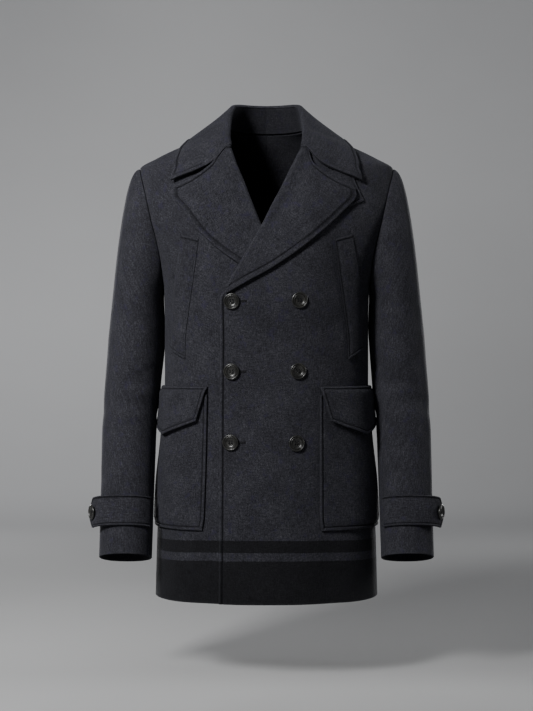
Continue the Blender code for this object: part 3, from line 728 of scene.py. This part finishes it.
# from the gorge to the centre back: top of the turn, the way out from the neck there, the style
# line, the neckline under it
COLLAR = (
    (59.5, -71, -37, 0.15, -0.84, 0.52, 162, -88, -94.5, 65, -69, -39),
    (62.5, -57, -15, 0.42, -0.76, 0.38, 155, -72, -69, 66, -54, -20),
    (63, -33, 12, 0.80, -0.50, 0.20, 147.5, -48, -43, 66, -28, 1),
    (61.5, -10, 34, 0.98, -0.15, 0.10, 137, -12, -22, 65, -6, 1),
    (57, 15, 45, 0.95, 0.28, 0.05, 126, 31, -22, 60, 22, 1),
    (44, 38, 49, 0.74, 0.67, 0.02, 97, 70, -36, 46, 42, 1),
    (24, 54, 50, 0.40, 0.92, 0.0, 52, 92, -46, 26, 56, 1),
    (0, 60, 50, 0.0, 1.0, 0.0, 0, 98, -50, 0, 62, 1),
)


def clear_of_body(points, lift):
    """Points moved out, level, to at least this far from the body, by a soft maximum."""
    z = points[..., 2]
    a, front, back, n = np.moveaxis(along(TORSO, z), -1, 0)
    deep = np.where(points[..., 1] < 0, front, back)
    inside = squashed(points[..., 0] / a, points[..., 1] / deep, n)
    reach = np.linalg.norm(points[..., :2], axis=-1)
    push = np.logaddexp(0, (lift - reach + reach / inside) / 1.5) * 1.5
    grown = 1 + np.where(z < 1, push, 0) / reach
    return points * np.stack([grown, grown, np.ones_like(grown)], -1)


def collar_sections(share):
    """The fold's start, its two ways, the style line and the neckline, at shares of the half."""
    at = by_row(COLLAR, share * (len(COLLAR) - 1))
    top, out, style, neck = at[:, 0:3], unit(at[:, 3:6]), at[:, 6:9], at[:, 9:12]
    way = unit(np.gradient(top, axis=0))
    way[-1] = (-1, 0, 0)
    out = unit(out - way * (out * way).sum(1, keepdims=True))
    up = unit(np.cross(out, way))
    return top - out * ROLL - up * ROLL, up, out, style, neck


def mirrored_on(half):
    """Both halves of a grid whose first axis runs to the centre back, as rows by columns."""
    return np.concatenate([half * (-1, 1, 1), half[-2::-1]]).transpose(1, 0, 2)


share = np.concatenate([beside(COLLAR_STITCH) / COLLAR_HALF, np.linspace(0.045, 1, 76)])
start, up, out, style, neck = collar_sections(share)
front = 1 - ease(0, 0.32, share)
fall = style - start
turn = np.arctan2((fall * out).sum(1), (fall * up).sum(1))
turn = turn + (np.pi - turn) * front
arc = turned_over(start, up, out, ROLL, turn[:, None] * BEND)
t = stations(np.linalg.norm(style - arc[:, -1], axis=1), [3.5], beside(COLLAR_STITCH), 26)
lying = arc[:, -1:] * (1 - t[..., None]) + style[:, None] * t[..., None]
bend = (along(GORGE, t[:1]) - lying[:1][..., [0, 2]])[..., [0, 0, 1]] * (1, 0, 1)
lying = lying + bend * front[:, None, None]
lift = LYING + 5.8 + 3.2 * (1 - front[:, None]) + 2.1 * front[:, None] * t**2
lift = lift - 5.0 * ease(0.45, 1, t) * ease(0.03, 0.12, share)[:, None]
half = np.concatenate([arc, clear_of_body(lying, lift)], 1)
whole = mirrored_on(half)
facing = unit(np.cross(np.gradient(whole, axis=1), np.gradient(whole, axis=0)))
facing[0] = mirrored_on(-out[:, None])[0]
free = np.concatenate([0 * BEND, ease(0.30, 0.38, t[0])])[:, None]
cloth("collar", whole, whole - facing * CLOTH, 1,
      [(edge, COLLAR_STITCH, 1.1, where)
       for edge, where in (("foot", 1.0), ("first", free), ("last", free))],
      (0.660, 0.150, 0.0550), "folded", ["collar_stand"], more=1.2, inside=0)

share = np.linspace(4 / 14, 1, 60)  # the stand starts a little way up each side of the neck
start, up, out, style, neck = collar_sections(share)
t = stations(np.linalg.norm(neck - start, axis=1), EDGE[:6], EDGE[:6], 8)[..., None]
half = start[:, None] * (1 - t) + neck[:, None] * t
cloth("collar_stand", mirrored_on(half + out[:, None] * CLOTH), mirrored_on(half), 1, (),
      (0.262, 0.050, 0.0090), "folded", ["back_left", "back_right"])


# ---------- the throat tab
# A short tab that buttons the collar shut. Open, it is kept behind the left lapel, so that one
# corner shows.
TAB_STITCH = 5.0
TAB_CLEAR = 0.6  # how far its inner face is off the front
# x and height of the corner that shows, and of those beside it along the two shown edges
corner, low, high = np.array([[164.0, -133.5], [126.3, -149.9], [137.0, -72.0]])
v = stations(67.0, EDGE, beside(TAB_STITCH), 10)[::-1][:, None, None]
t = stations(41.0, beside(TAB_STITCH), EDGE, 6)[None, :, None]
p = corner + (high - corner) * (1 - v) + (low - corner) * t
x, z = p[..., 0], p[..., 1]
cloth("throat_tab", on_front(x, z, 0 * x + CLOTH + TAB_CLEAR), on_front(x, z, 0 * x + TAB_CLEAR),
      1, [(edge, TAB_STITCH, 0.45) for edge in ("top", "first")], (0.047, 0.068, 0.0031),
      "laid", ["front_left"], more=0.4)


# ---------- the sleeves
# Cut in two, a broad top sleeve and a narrow under sleeve, so that the arm hangs bent forward.
# The head is eased into the armhole and stands a little over the seam.
# height, middle x, half width, middle y, half depth, tilt of the ring (degrees), squareness
SLEEVE = (
    (-304.5, 225.1, 45.0, 2, 67, 0, 2.2),
    (-367.5, 228.2, 48.4, 3, 66, 1, 2.2),
    (-451, 233.7, 48.6, -4, 61, 4, 2.2),
    (-485, 236.4, 47.6, -9, 58, 7, 2.2),
    (-534, 238.5, 46.9, -19, 55, 10, 2.2),
    (-640, 239.6, 45.6, -44, 51, 14, 2.2),
    (-739.6, 240.5, 44.8, -69, 50, 15, 2.2),
)
# side (0 both), height in front, angle round the sleeve from outside (degrees), its width, half
# height, depth, how it slopes
CREASES = (
    (0, -440, 100, 42, 15, -4.0, 0.25),
    (0, -478, 70, 48, 16, -4.5, 0.25),
    (0, -520, 115, 44, 14, -3.5, 0.25),
    (0, -465, 250, 40, 22, 3.0, 0.25),
    (0, -330, 60, 30, 20, -3.0, 0.25),
    (1, -408, 132, 30, 9, -1.6, 0.5),
    (-1, -418, 128, 34, 9, -1.8, 0.45),
    (1, -458, 128, 26, 8, 1.5, 0.4),
    (-1, -462, 120, 28, 8, 1.6, 0.5),
    (1, -556, 96, 34, 11, -1.6, 0.3),
    (-1, -566, 104, 30, 10, -1.7, 0.35),
    (1, -612, 60, 30, 12, -1.2, 0.2),
    (-1, -604, 48, 34, 12, -1.3, 0.2),
    (0, -500, 196, 36, 14, -2.0, -0.3),
    (1, -430, 300, 34, 16, -1.8, -0.35),
    (-1, -446, 296, 36, 16, -1.9, -0.3),
    (0, -545, 268, 36, 15, 1.6, -0.2),
    (0, -330, 180, 40, 45, 1.1, 0),
    (-1, -385, 180, 40, 35, 2.0, 0),
)


def sleeve_ring(z, angle, side=1):
    """A sleeve's outer cloth: angle 0 outside, 90 degrees in front, 180 towards the body. Each
    ring is a super-ellipse tilted forward, plus the creases' Gaussians."""
    x0, wide, y0, deep, tilt, n = np.moveaxis(along(SLEEVE, z), -1, 0)
    c, s = np.cos(angle), np.sin(angle)
    r = 1 / squashed(c / wide, s / deep, n)
    for only, height, middle, width, tall, depth, slope in CREASES:
        if only in (0, side):
            off = (np.degrees(angle) - middle + 180) % 360 - 180
            low = height - slope * np.abs(off)
            r = r + depth * bell(off, width) * bell(z - low, tall)
    tilt = np.radians(tilt)
    y = -r * s
    return np.stack([x0 + r * c, y0 + y * np.cos(tilt), z - y * np.sin(tilt)], -1)


def armhole(angle):
    """The armhole seam, from the shoulder point (angle 0) round the front: its height goes as the
    cosine, x comes from its table and y from the body's ring."""
    z = SHOULDER + (UNDERARM - SHOULDER) * (1 - np.cos(angle)) / 2
    front = np.sin(angle) > 0
    x = np.where(front, *np.moveaxis(along(ARMHOLE, z), -1, 0))
    y = depth_at(z, x, front)
    return np.stack([x, np.where(front, -y, y), z], -1)


def sleeve_cap(angle, t, side):
    """From the armhole (t = 0) to the first sleeve ring (t = 1): a cubic that leaves the seam
    outwards and meets the ring running down it."""
    t = t[:, None, None]
    top = SLEEVE[0][0]
    start, end = armhole(angle), sleeve_ring(np.full_like(angle, top), angle, side)
    chord = np.linalg.norm(end - start, axis=-1, keepdims=True)
    under = (np.sin(angle / 2) ** 2)[:, None]
    lean = np.sin(angle)[:, None]
    leave = np.concatenate([1 - 0.93 * under, -0.42 * lean, -under - 0.25 * lean**2], -1)
    leave = unit(leave) * chord * (0.27 + 0.68 * under)
    arrive = sleeve_ring(np.full_like(angle, top - 6), angle, side) - end
    arrive = unit(arrive) * chord * (1.0 + 0.95 * (1 - under) ** 1.5)
    return cubic(t, start + unit(leave) * 0.1, leave, end, arrive)


def sleeve_face(angle, side):
    """The whole length of the sleeve's outer cloth at these angles."""
    cap_rows = np.concatenate([EDGE / CAP_LENGTH, np.linspace(0.04, 1, 34) ** 1.1])
    cap = sleeve_cap(angle, cap_rows, side)
    heights = np.concatenate([np.linspace(-308, -732, 96), SLEEVE[-1][0] + EDGE[::-1]])[:, None]
    return np.concatenate([cap, sleeve_ring(heights + 0 * angle, angle + 0 * heights, side)])


CAP_LENGTH, GIRTH = 130.0, 345.0
FRONT_SEAM, BACK_SEAM = 146.0, 262.0  # round the sleeve from outside, in degrees
for side in (1, -1):
    for name, first, last, count, cut in (
        ("sleeve_top", BACK_SEAM - 360, FRONT_SEAM, 60, (0.275, 0.690, 0.1415)),
        ("sleeve_under", FRONT_SEAM, BACK_SEAM, 30, (0.135, 0.560, 0.0513)),
    ):
        around = (last - first) / 360 * GIRTH
        angle = np.radians(first + (last - first) * stations(around, EDGE, EDGE, count))
        face = sleeve_face(angle, side)
        way = sleeve_face(angle + 0.01, side) - sleeve_face(angle - 0.01, side)
        out = unit(np.cross(way, np.gradient(face, axis=0)))
        cloth(f"{name}_{hand(side)}", face, face - out * CLOTH, side, (), cut)


# ---------- pockets, flaps and welts
# Patch pockets wrapped round the side seam, full at the lower corner, each under a pointed flap.
# On the chest a slanting slit with a raised strip along it.
LAID = CLOTH + 0.35  # how high a piece sewn flat on a panel reaches
POCKET_WIDTH, POCKET_LENGTH, POCKET_TOP = 178.0, 228.5, -460.0
FLAP_WIDTH, FLAP_TOP = 184.0, -446.5
STITCH, SHORT_STITCH = 6.0, 5.0  # how far in the long and the short edges are stitched
# down the welt: share of its length, x and height of the edge nearer the middle and of the other
WELT = (
    (0, 114, -199.5, 143.5, -190.5),
    (0.25, 120.3, -250, 153.5, -245),
    (0.5, 128.3, -303, 159.5, -296),
    (0.83, 136.8, -371, 162.3, -352),
    (1, 137.5, -401, 163.2, -384),
)


def wrapped(start_x, z, run, side, reach=2.4, fineness=320):
    """Angles round the body at distances run (mm) along the cloth from the front place start_x."""
    fine = angle_at(z, start_x)[:, None] - np.linspace(0, reach, fineness)
    return look_up(run, running(ring(z[:, None] + 0 * fine, fine, side), 1), fine)


for side, top_x, low_x, lift in ((1, 87.5, 89.3, over_lift), (-1, 98.5, 106.0, no_lift)):
    front_name = f"front_{hand(side)}"
    v = stations(POCKET_LENGTH, EDGE, beside(STITCH), 40)
    u = stations(POCKET_WIDTH, beside(STITCH), EDGE, 34)
    z = POCKET_TOP - POCKET_LENGTH * v
    runs = POCKET_WIDTH * ((u - 0.5) * (1 - 0.03 * ease(0.9, 1, v[:, None])) + 0.5)
    angle = wrapped(top_x + (low_x - top_x) * v, z, runs, side)
    z, u, v = z[:, None] + 0 * angle, u[None], v[:, None]
    full = ease(0, 0.12, u) * ease(0, 0.1, 1 - u) * ease(0.3, 0.75, v) * ease(0, 0.07, 1 - v)
    height = LAID + full * (0.6 + 3.0 * ease(0.1, 0.5, u)) + lift(ring(z, angle)[..., 0], z)
    cloth(f"pocket_{hand(side)}", *laid(z, angle, height, side), side,
          [(edge, STITCH, 1.3) for edge in ("first", "foot")], (0.178, 0.229, 0.0405), "laid",
          [front_name, f"back_{hand(side)}"], more=0.4)

    v = stations(72.0, beside(SHORT_STITCH), beside(STITCH)[:-1], 10)
    u = stations(FLAP_WIDTH, beside(STITCH), beside(STITCH), 40)
    drop = 58 + 26 * np.clip(1 - np.hypot(2 * u - 1, 0.025), 0, 1) ** 0.9  # its rounded point
    z = FLAP_TOP - v[:, None] * drop
    run = FLAP_WIDTH * (0.5 + (u[None] - 0.5) * (1 - 0.2 * v[:, None])) - 1
    angle = wrapped(np.full(z.size, top_x + 0.4), z.ravel(), run.reshape(-1, 1), side)
    angle = angle.reshape(z.shape)
    raised = (CLOTH + 2.4) * ease(0, 0.16, v) + 2.4 * v**2
    height = LAID + raised[:, None] + lift(ring(z, angle)[..., 0], z)
    cloth(f"flap_{hand(side)}", *laid(z, angle, height, side), side,
          [(edge, STITCH, 1.0) for edge in ("first", "last", "foot")]
          + [("top", SHORT_STITCH, 1.0)], (0.184, 0.084, 0.0125), "laid",
          [f"pocket_{hand(side)}", front_name], more=0.8)

    v = stations(203.0, beside(SHORT_STITCH), beside(SHORT_STITCH), 44)
    across = stations(28.0, EDGE, EDGE, 8)
    near, far = np.split(along(WELT, v)[:, None], 2, -1)
    x, z = np.moveaxis(near + (far - near) * across[None, :, None], -1, 0)
    height = LAID + 0.3 + lift(x, z)
    pressed = (1.3 if side > 0 else 2.6) * bell(np.minimum(across, 1 - across), 1 / 7)
    rows = [("top", SHORT_STITCH, 0.8), ("foot", SHORT_STITCH, 0.6)]
    cloth(f"welt_{hand(side)}", on_front(x, z, height - pressed, side),
          on_front(x, z, height - CLOTH, side), side,
          rows + [("first", 2.2, 0.9)] * (side > 0), (0.038, 0.206, 0.0075), "laid",
          [front_name])


# ---------- the cuff tabs
# A pointed tab from the sleeve's front seam round the outside of the cuff, stitched all round, its
# free end standing off under a button.
STRAP_LENGTH, STRAP_WIDTH, STRAP_MIDDLE = 148.0, 50.6, -668.0
STRAP_WALL, STRAP_STITCH = 2.8, 4.5


def strap_lift(t):
    """How far the tab's outer face is off the sleeve at share t: flat, then two easy steps."""
    return CLOTH + 0.6 + 10.5 * ease(0.42, 0.86, t) + 4 * ease(0.86, 1.02, t)


for side in (1, -1):
    t = stations(STRAP_LENGTH, EDGE, beside(STRAP_STITCH), 60)[None]
    part = 0.5 - stations(50.0, beside(STRAP_STITCH), beside(STRAP_STITCH), 8)[:, None]
    point = 0.97 * np.clip((t - 0.875) / 0.125, 0, 1)
    z = STRAP_MIDDLE + STRAP_WIDTH * part * (1 - point)
    t = t + 0 * z
    faces = [moved_out(sleeve_ring, z, np.radians(144 - 135 * t), strap_lift(t) - wall, side)
             for wall in (0, STRAP_WALL)]
    cloth(f"cuff_strap_{hand(side)}", *faces, side,
          [(edge, STRAP_STITCH, 0.9) for edge in ("top", "foot")], (0.148, 0.050, 0.0069),
          "laid", [f"sleeve_top_{hand(side)}"], more=0.8)


# ---------- buttons
# Turned from dark horn: a raised rim, a dished middle and four holes, polished. Six on the front
# and a smaller one on each cuff tab, sewn through with thread.
def horn(place):
    """Streaks of pale and dark layers, stretched one way, under a polish."""
    long = place.node("Mapping", {"Vector": place, "Scale": (1, 1, 0.35), "Rotation": (0, 0.5, 0)})
    tint = long.noise(190, 4, warp=1.2).ramp(
        (0.3, (0.005, 0.005, 0.0045)), (0.52, (0.011, 0.0108, 0.0095)),
        (0.72, (0.026, 0.0255, 0.022)))
    scuff = place.noise(1500)
    return {"Base Color": tint, "Roughness": 0.26 + scuff * 0.12,
            "Normal": scuff.bump(0.12, 0.0003), "Specular IOR Level": 0.62}


HORN = painted("horn", horn)
# radius, height of the button's turned outline, from the middle of its back to that of its front
OUTLINE = ((0.4, 0), (6, 0), (8.6, 0), (11, 0.55), (12.6, 1.2), (13.45, 2.1), (13.7, 3.0),
           (13.45, 3.9), (12.8, 4.6), (12.0, 4.85), (11.4, 4.55), (10.9, 3.8), (10.4, 3.3),
           (9.9, 3.6), (9.4, 4.05), (8.9, 4.05), (8.2, 3.4), (7.2, 2.6), (5.5, 2.1), (2.6, 2.0),
           (0.4, 2.0))
HORN_RADIUS = 13.7
HOLE = 2.3  # how far the four holes are from the middle, both ways
ROUND, RINGS, DISH = 96, 60, 46  # points round, rings to the middle, and the last outside the dish


def placed_like(node):
    """Middle of the back, way out and radius of a CAD button. Its way out is its points' thin
    way, turned to the front, or away from the coat on a cuff."""
    points = np.empty(len(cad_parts[node].data.vertices) * 3)
    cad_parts[node].data.vertices.foreach_get("co", points)
    points = np.unique(np.round(points.reshape(-1, 3) * 1000, 3), axis=0)
    middle = points.mean(0)
    facing = np.linalg.svd(points - middle)[2][2]
    away = (middle[0], 0, 0) if "cuff" in node else (0, -1, 0)
    facing = facing * np.sign(facing @ away)
    height = (points - middle) @ facing
    spread = np.linalg.norm(points - middle - height[:, None] * facing, axis=1)
    return middle + facing * height.min(), facing, spread.max()


def tube(path, radius, up, count=8):
    """A round thread along a path: a circle across its way at each point, tiny at both ends."""
    way = unit(np.gradient(path, axis=0))
    across = unit(np.cross(way, up))
    above = np.cross(across, way)
    turn = turns(count)[:, None]
    number = np.arange(len(path))
    size = radius * np.clip(np.minimum(number, number[::-1]), 0.02, 1)[:, None, None]
    points = path[:, None] + size * (across[:, None] * np.cos(turn) + above[:, None] * np.sin(turn))
    return points.reshape(-1, 3), round_faces(len(path), count)[:, ::-1]


def button(node):
    """The outline turned round its way out. The holes are pits in the same grid, each with a
    slight lip, and two pairs of thread bars cross from hole to hole."""
    place, facing, radius = placed_like(node)
    k = radius / HORN_RADIUS
    right = unit(np.cross((0, 0, 1), facing))
    up = np.cross(facing, right)
    run = np.linspace(0, len(OUTLINE) - 1, RINGS)
    r, h = by_row(OUTLINE, np.concatenate([run[:DISH], np.linspace(run[DISH], run[-1], 44)])).T
    turn = turns(ROUND)
    x, y = r[:, None] * np.cos(turn), r[:, None] * np.sin(turn)
    off = np.hypot(np.abs(x) - HOLE, np.abs(y) - HOLE)
    top = np.arange(len(r))[:, None] > DISH
    h = h[:, None] + top * (0.12 * bell(off - 1.5, 0.3) - 2.2 * (1 - ease(0.85, 1.25, off)))
    points = place + (right * x[..., None] + up * y[..., None] + facing * h[..., None]) * k
    thing = put(f"{node}_horn", points.reshape(-1, 3), round_faces(len(r), ROUND), HORN, "buttons")
    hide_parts(node)
    bars = []
    for across in (-HOLE - 0.28, -HOLE + 0.28, HOLE - 0.28, HOLE + 0.28):
        t = np.linspace(-1, 1, 12)[:, None]
        path = place + (right * across + up * t * 2.35 + facing * (2.95 - 1.9 * t**6)) * k
        bars.append(tube(path, 0.30 * k, facing))
    put(f"{node}_thread", *joined(bars), THREAD, "wool")


for node in sorted(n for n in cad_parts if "button" in n):
    button(node)

# The left front's three buttonholes: a dark thread along each cut as the slit's painted shade,
# and close bars of thread across both its lips, which show past the buttons' rims.
def bound(x, z, height, radius):
    """A thread laid this high on the left front's own cloth."""
    return tube(on_front(x, z, over_lift(x, z) + height), radius, (0, -1, 0))


for number, x, z in ((1, -56.2, -304.0), (3, -57.5, -421.3), (5, -59.1, -539.7)):
    cut = np.linspace(x + 3, x + 24, 24)
    # painted shade: a dark thread where the slit opens
    parts = [bound(cut, z + 0 * cut, 0.15, 0.55)]
    for step in np.linspace(x + 3, x + 24, 30):
        for lip in (-1, 1):
            across = z + lip * np.linspace(0.25, 2.0, 6)
            rise = 0.3 - 0.7 * np.linspace(-0.6, 1, 6) ** 4
            parts.append(bound(step + 0 * across, across, rise, 0.42))
    put(f"buttonhole_{number}", *joined(parts), THREAD, "wool")


# ---------- studio
# A pale seamless bowl: a level floor that curves up into a wall all round. The coat hangs above
# it as if worn, lit by a broad soft light from the left of the camera.
FLOOR, FLAT, BOWL = -945.0, 2600.0, 5000.0  # height, level radius and the wall's radius


def backdrop():
    """Points and faces: rings widen evenly, then follow a quarter circle up, open above."""
    bend = np.linspace(0, np.pi / 2, 32)[1:]
    r = np.concatenate([np.linspace(300, FLAT, 12), FLAT + BOWL * np.sin(bend)])[:, None]
    h = np.concatenate([np.zeros(12), BOWL - BOWL * np.cos(bend)])[:, None] + FLOOR
    turn = turns(ROUND)
    points = np.stack([r * np.cos(turn), r * np.sin(turn), h + 0 * turn], -1)
    return points.reshape(-1, 3), round_faces(len(r), ROUND)[:1 - ROUND // 2, ::-1]


def studio_floor(place):
    """A grey that is a sum of soft steps across, away and up, and these are painted light and
    shade: paler behind the coat and far in front, a painted pool of light near the camera,
    painted shade to the right and in the upper left, and a painted shadow behind the coat's foot."""
    across, away, height = (place.part(k) for k in range(3))
    wall = (height + 0.93).smooth(0, 0.8)
    before = 1 - away.smooth(-0.5, 2.5)
    far = (across * across + away * away).smooth(1.4, 8.0)
    pale = 0.36 + away.smooth(1.0, 3.2) * 0.19 + wall * 0.05 + before * far * 0.4
    level = 1 - wall
    # painted light: a brighter pool on the floor near the camera
    near = level * (1 - away.smooth(-0.3, 0.05))
    # painted shadow of the coat on the floor beneath and behind it, right of its middle
    under = level * away.smooth(-0.2, 0.1) * (1 - away.smooth(0.6, 2.0))
    beyond = level * away.smooth(0.2, 0.8) * (1 - away.smooth(1.4, 2.2))
    low = away.smooth(1.2, 2.2) * (1 - height.smooth(-0.6, 0.8))
    # painted shade in the upper left of the backdrop
    corner = (0 - across).smooth(0.3, 1.6) * height.smooth(0.2, 1.8)
    # painted light and shade: darker to the right, the painted shadow, the painted pool of light
    pale = pale * (1 + away.smooth(1.0, 3.2) * 0.06 + near * 0.10 - corner * 0.13
                   - across.smooth(-1.2, 1.6) * 0.18 - under * across.smooth(-0.9, 0.4) * 0.25
                   - beyond * (1 - across.smooth(-0.9, -0.1)) * 0.12
                   + low * (0.12 - across.smooth(-1.4, 1.4) * 0.25)) + place.noise(3) * 0.02
    return {"Base Color": pale.ramp((0.0, (0.0, 0.0, 0.0)), (1.0, (1.0, 1.0, 1.002))),
            "Roughness": 0.9}


put("studio_floor", *backdrop(), painted("studio_floor", studio_floor))


def softbox(name, place, size, power, fan=180, aim=(0, 0, -0.4)):
    """A soft rectangle of light at a place, tilted from straight down and headed to its aim."""
    light = bpy.data.lights.new(name, "AREA")
    light.shape, light.size, light.size_y, light.energy, light.spread = (
        "RECTANGLE", size[0], size[1], power, np.radians(fan))
    lamp = in_scene(name, light)
    lamp.location = place
    way = np.array(aim) - np.array(place)
    lamp.rotation_euler = (np.arctan2(np.hypot(way[0], way[1]), -way[2]), 0,
                           np.arctan2(-way[0], way[1]))


softbox("key", (-1.38, -2.02, 1.02), (0.55, 0.65), 31, 90, (-0.66, 0.16, -0.15))
softbox("fill", (2.9, -1.9, 0.3), (1.4, 1.8), 1.2)
softbox("over", (-0.3, 0.2, 3.0), (3.0, 2.4), 5)
softbox("side_right", (3.1, 1.0, 0.4), (0.8, 1.2), 2.6, 40)
softbox("back_left", (-1.45, 3.1, 0.1), (0.6, 1.2), 4.5, 40)
softbox("back_right", (1.45, 3.1, 0.1), (0.6, 1.2), 4.5, 40)
softbox("wall", (-0.4, 2.5, 3.4), (3.0, 1.5), 52, 150, (-0.5, 7.5, 0.2))

world = bpy.data.worlds.new("studio")
bpy.context.scene.world = world
world.use_nodes = True
for at, value in enumerate(((0.9, 0.93, 1.0, 1), 0.18)):
    world.node_tree.nodes["Background"].inputs[at].default_value = value

camera = in_scene("camera", bpy.data.cameras.new("camera"))
camera.data.lens, camera.data.sensor_width = 80, 36
camera.location, camera.rotation_euler = (0, -2.765, -0.3946), (np.pi / 2, 0, 0)
bpy.context.scene.camera = camera
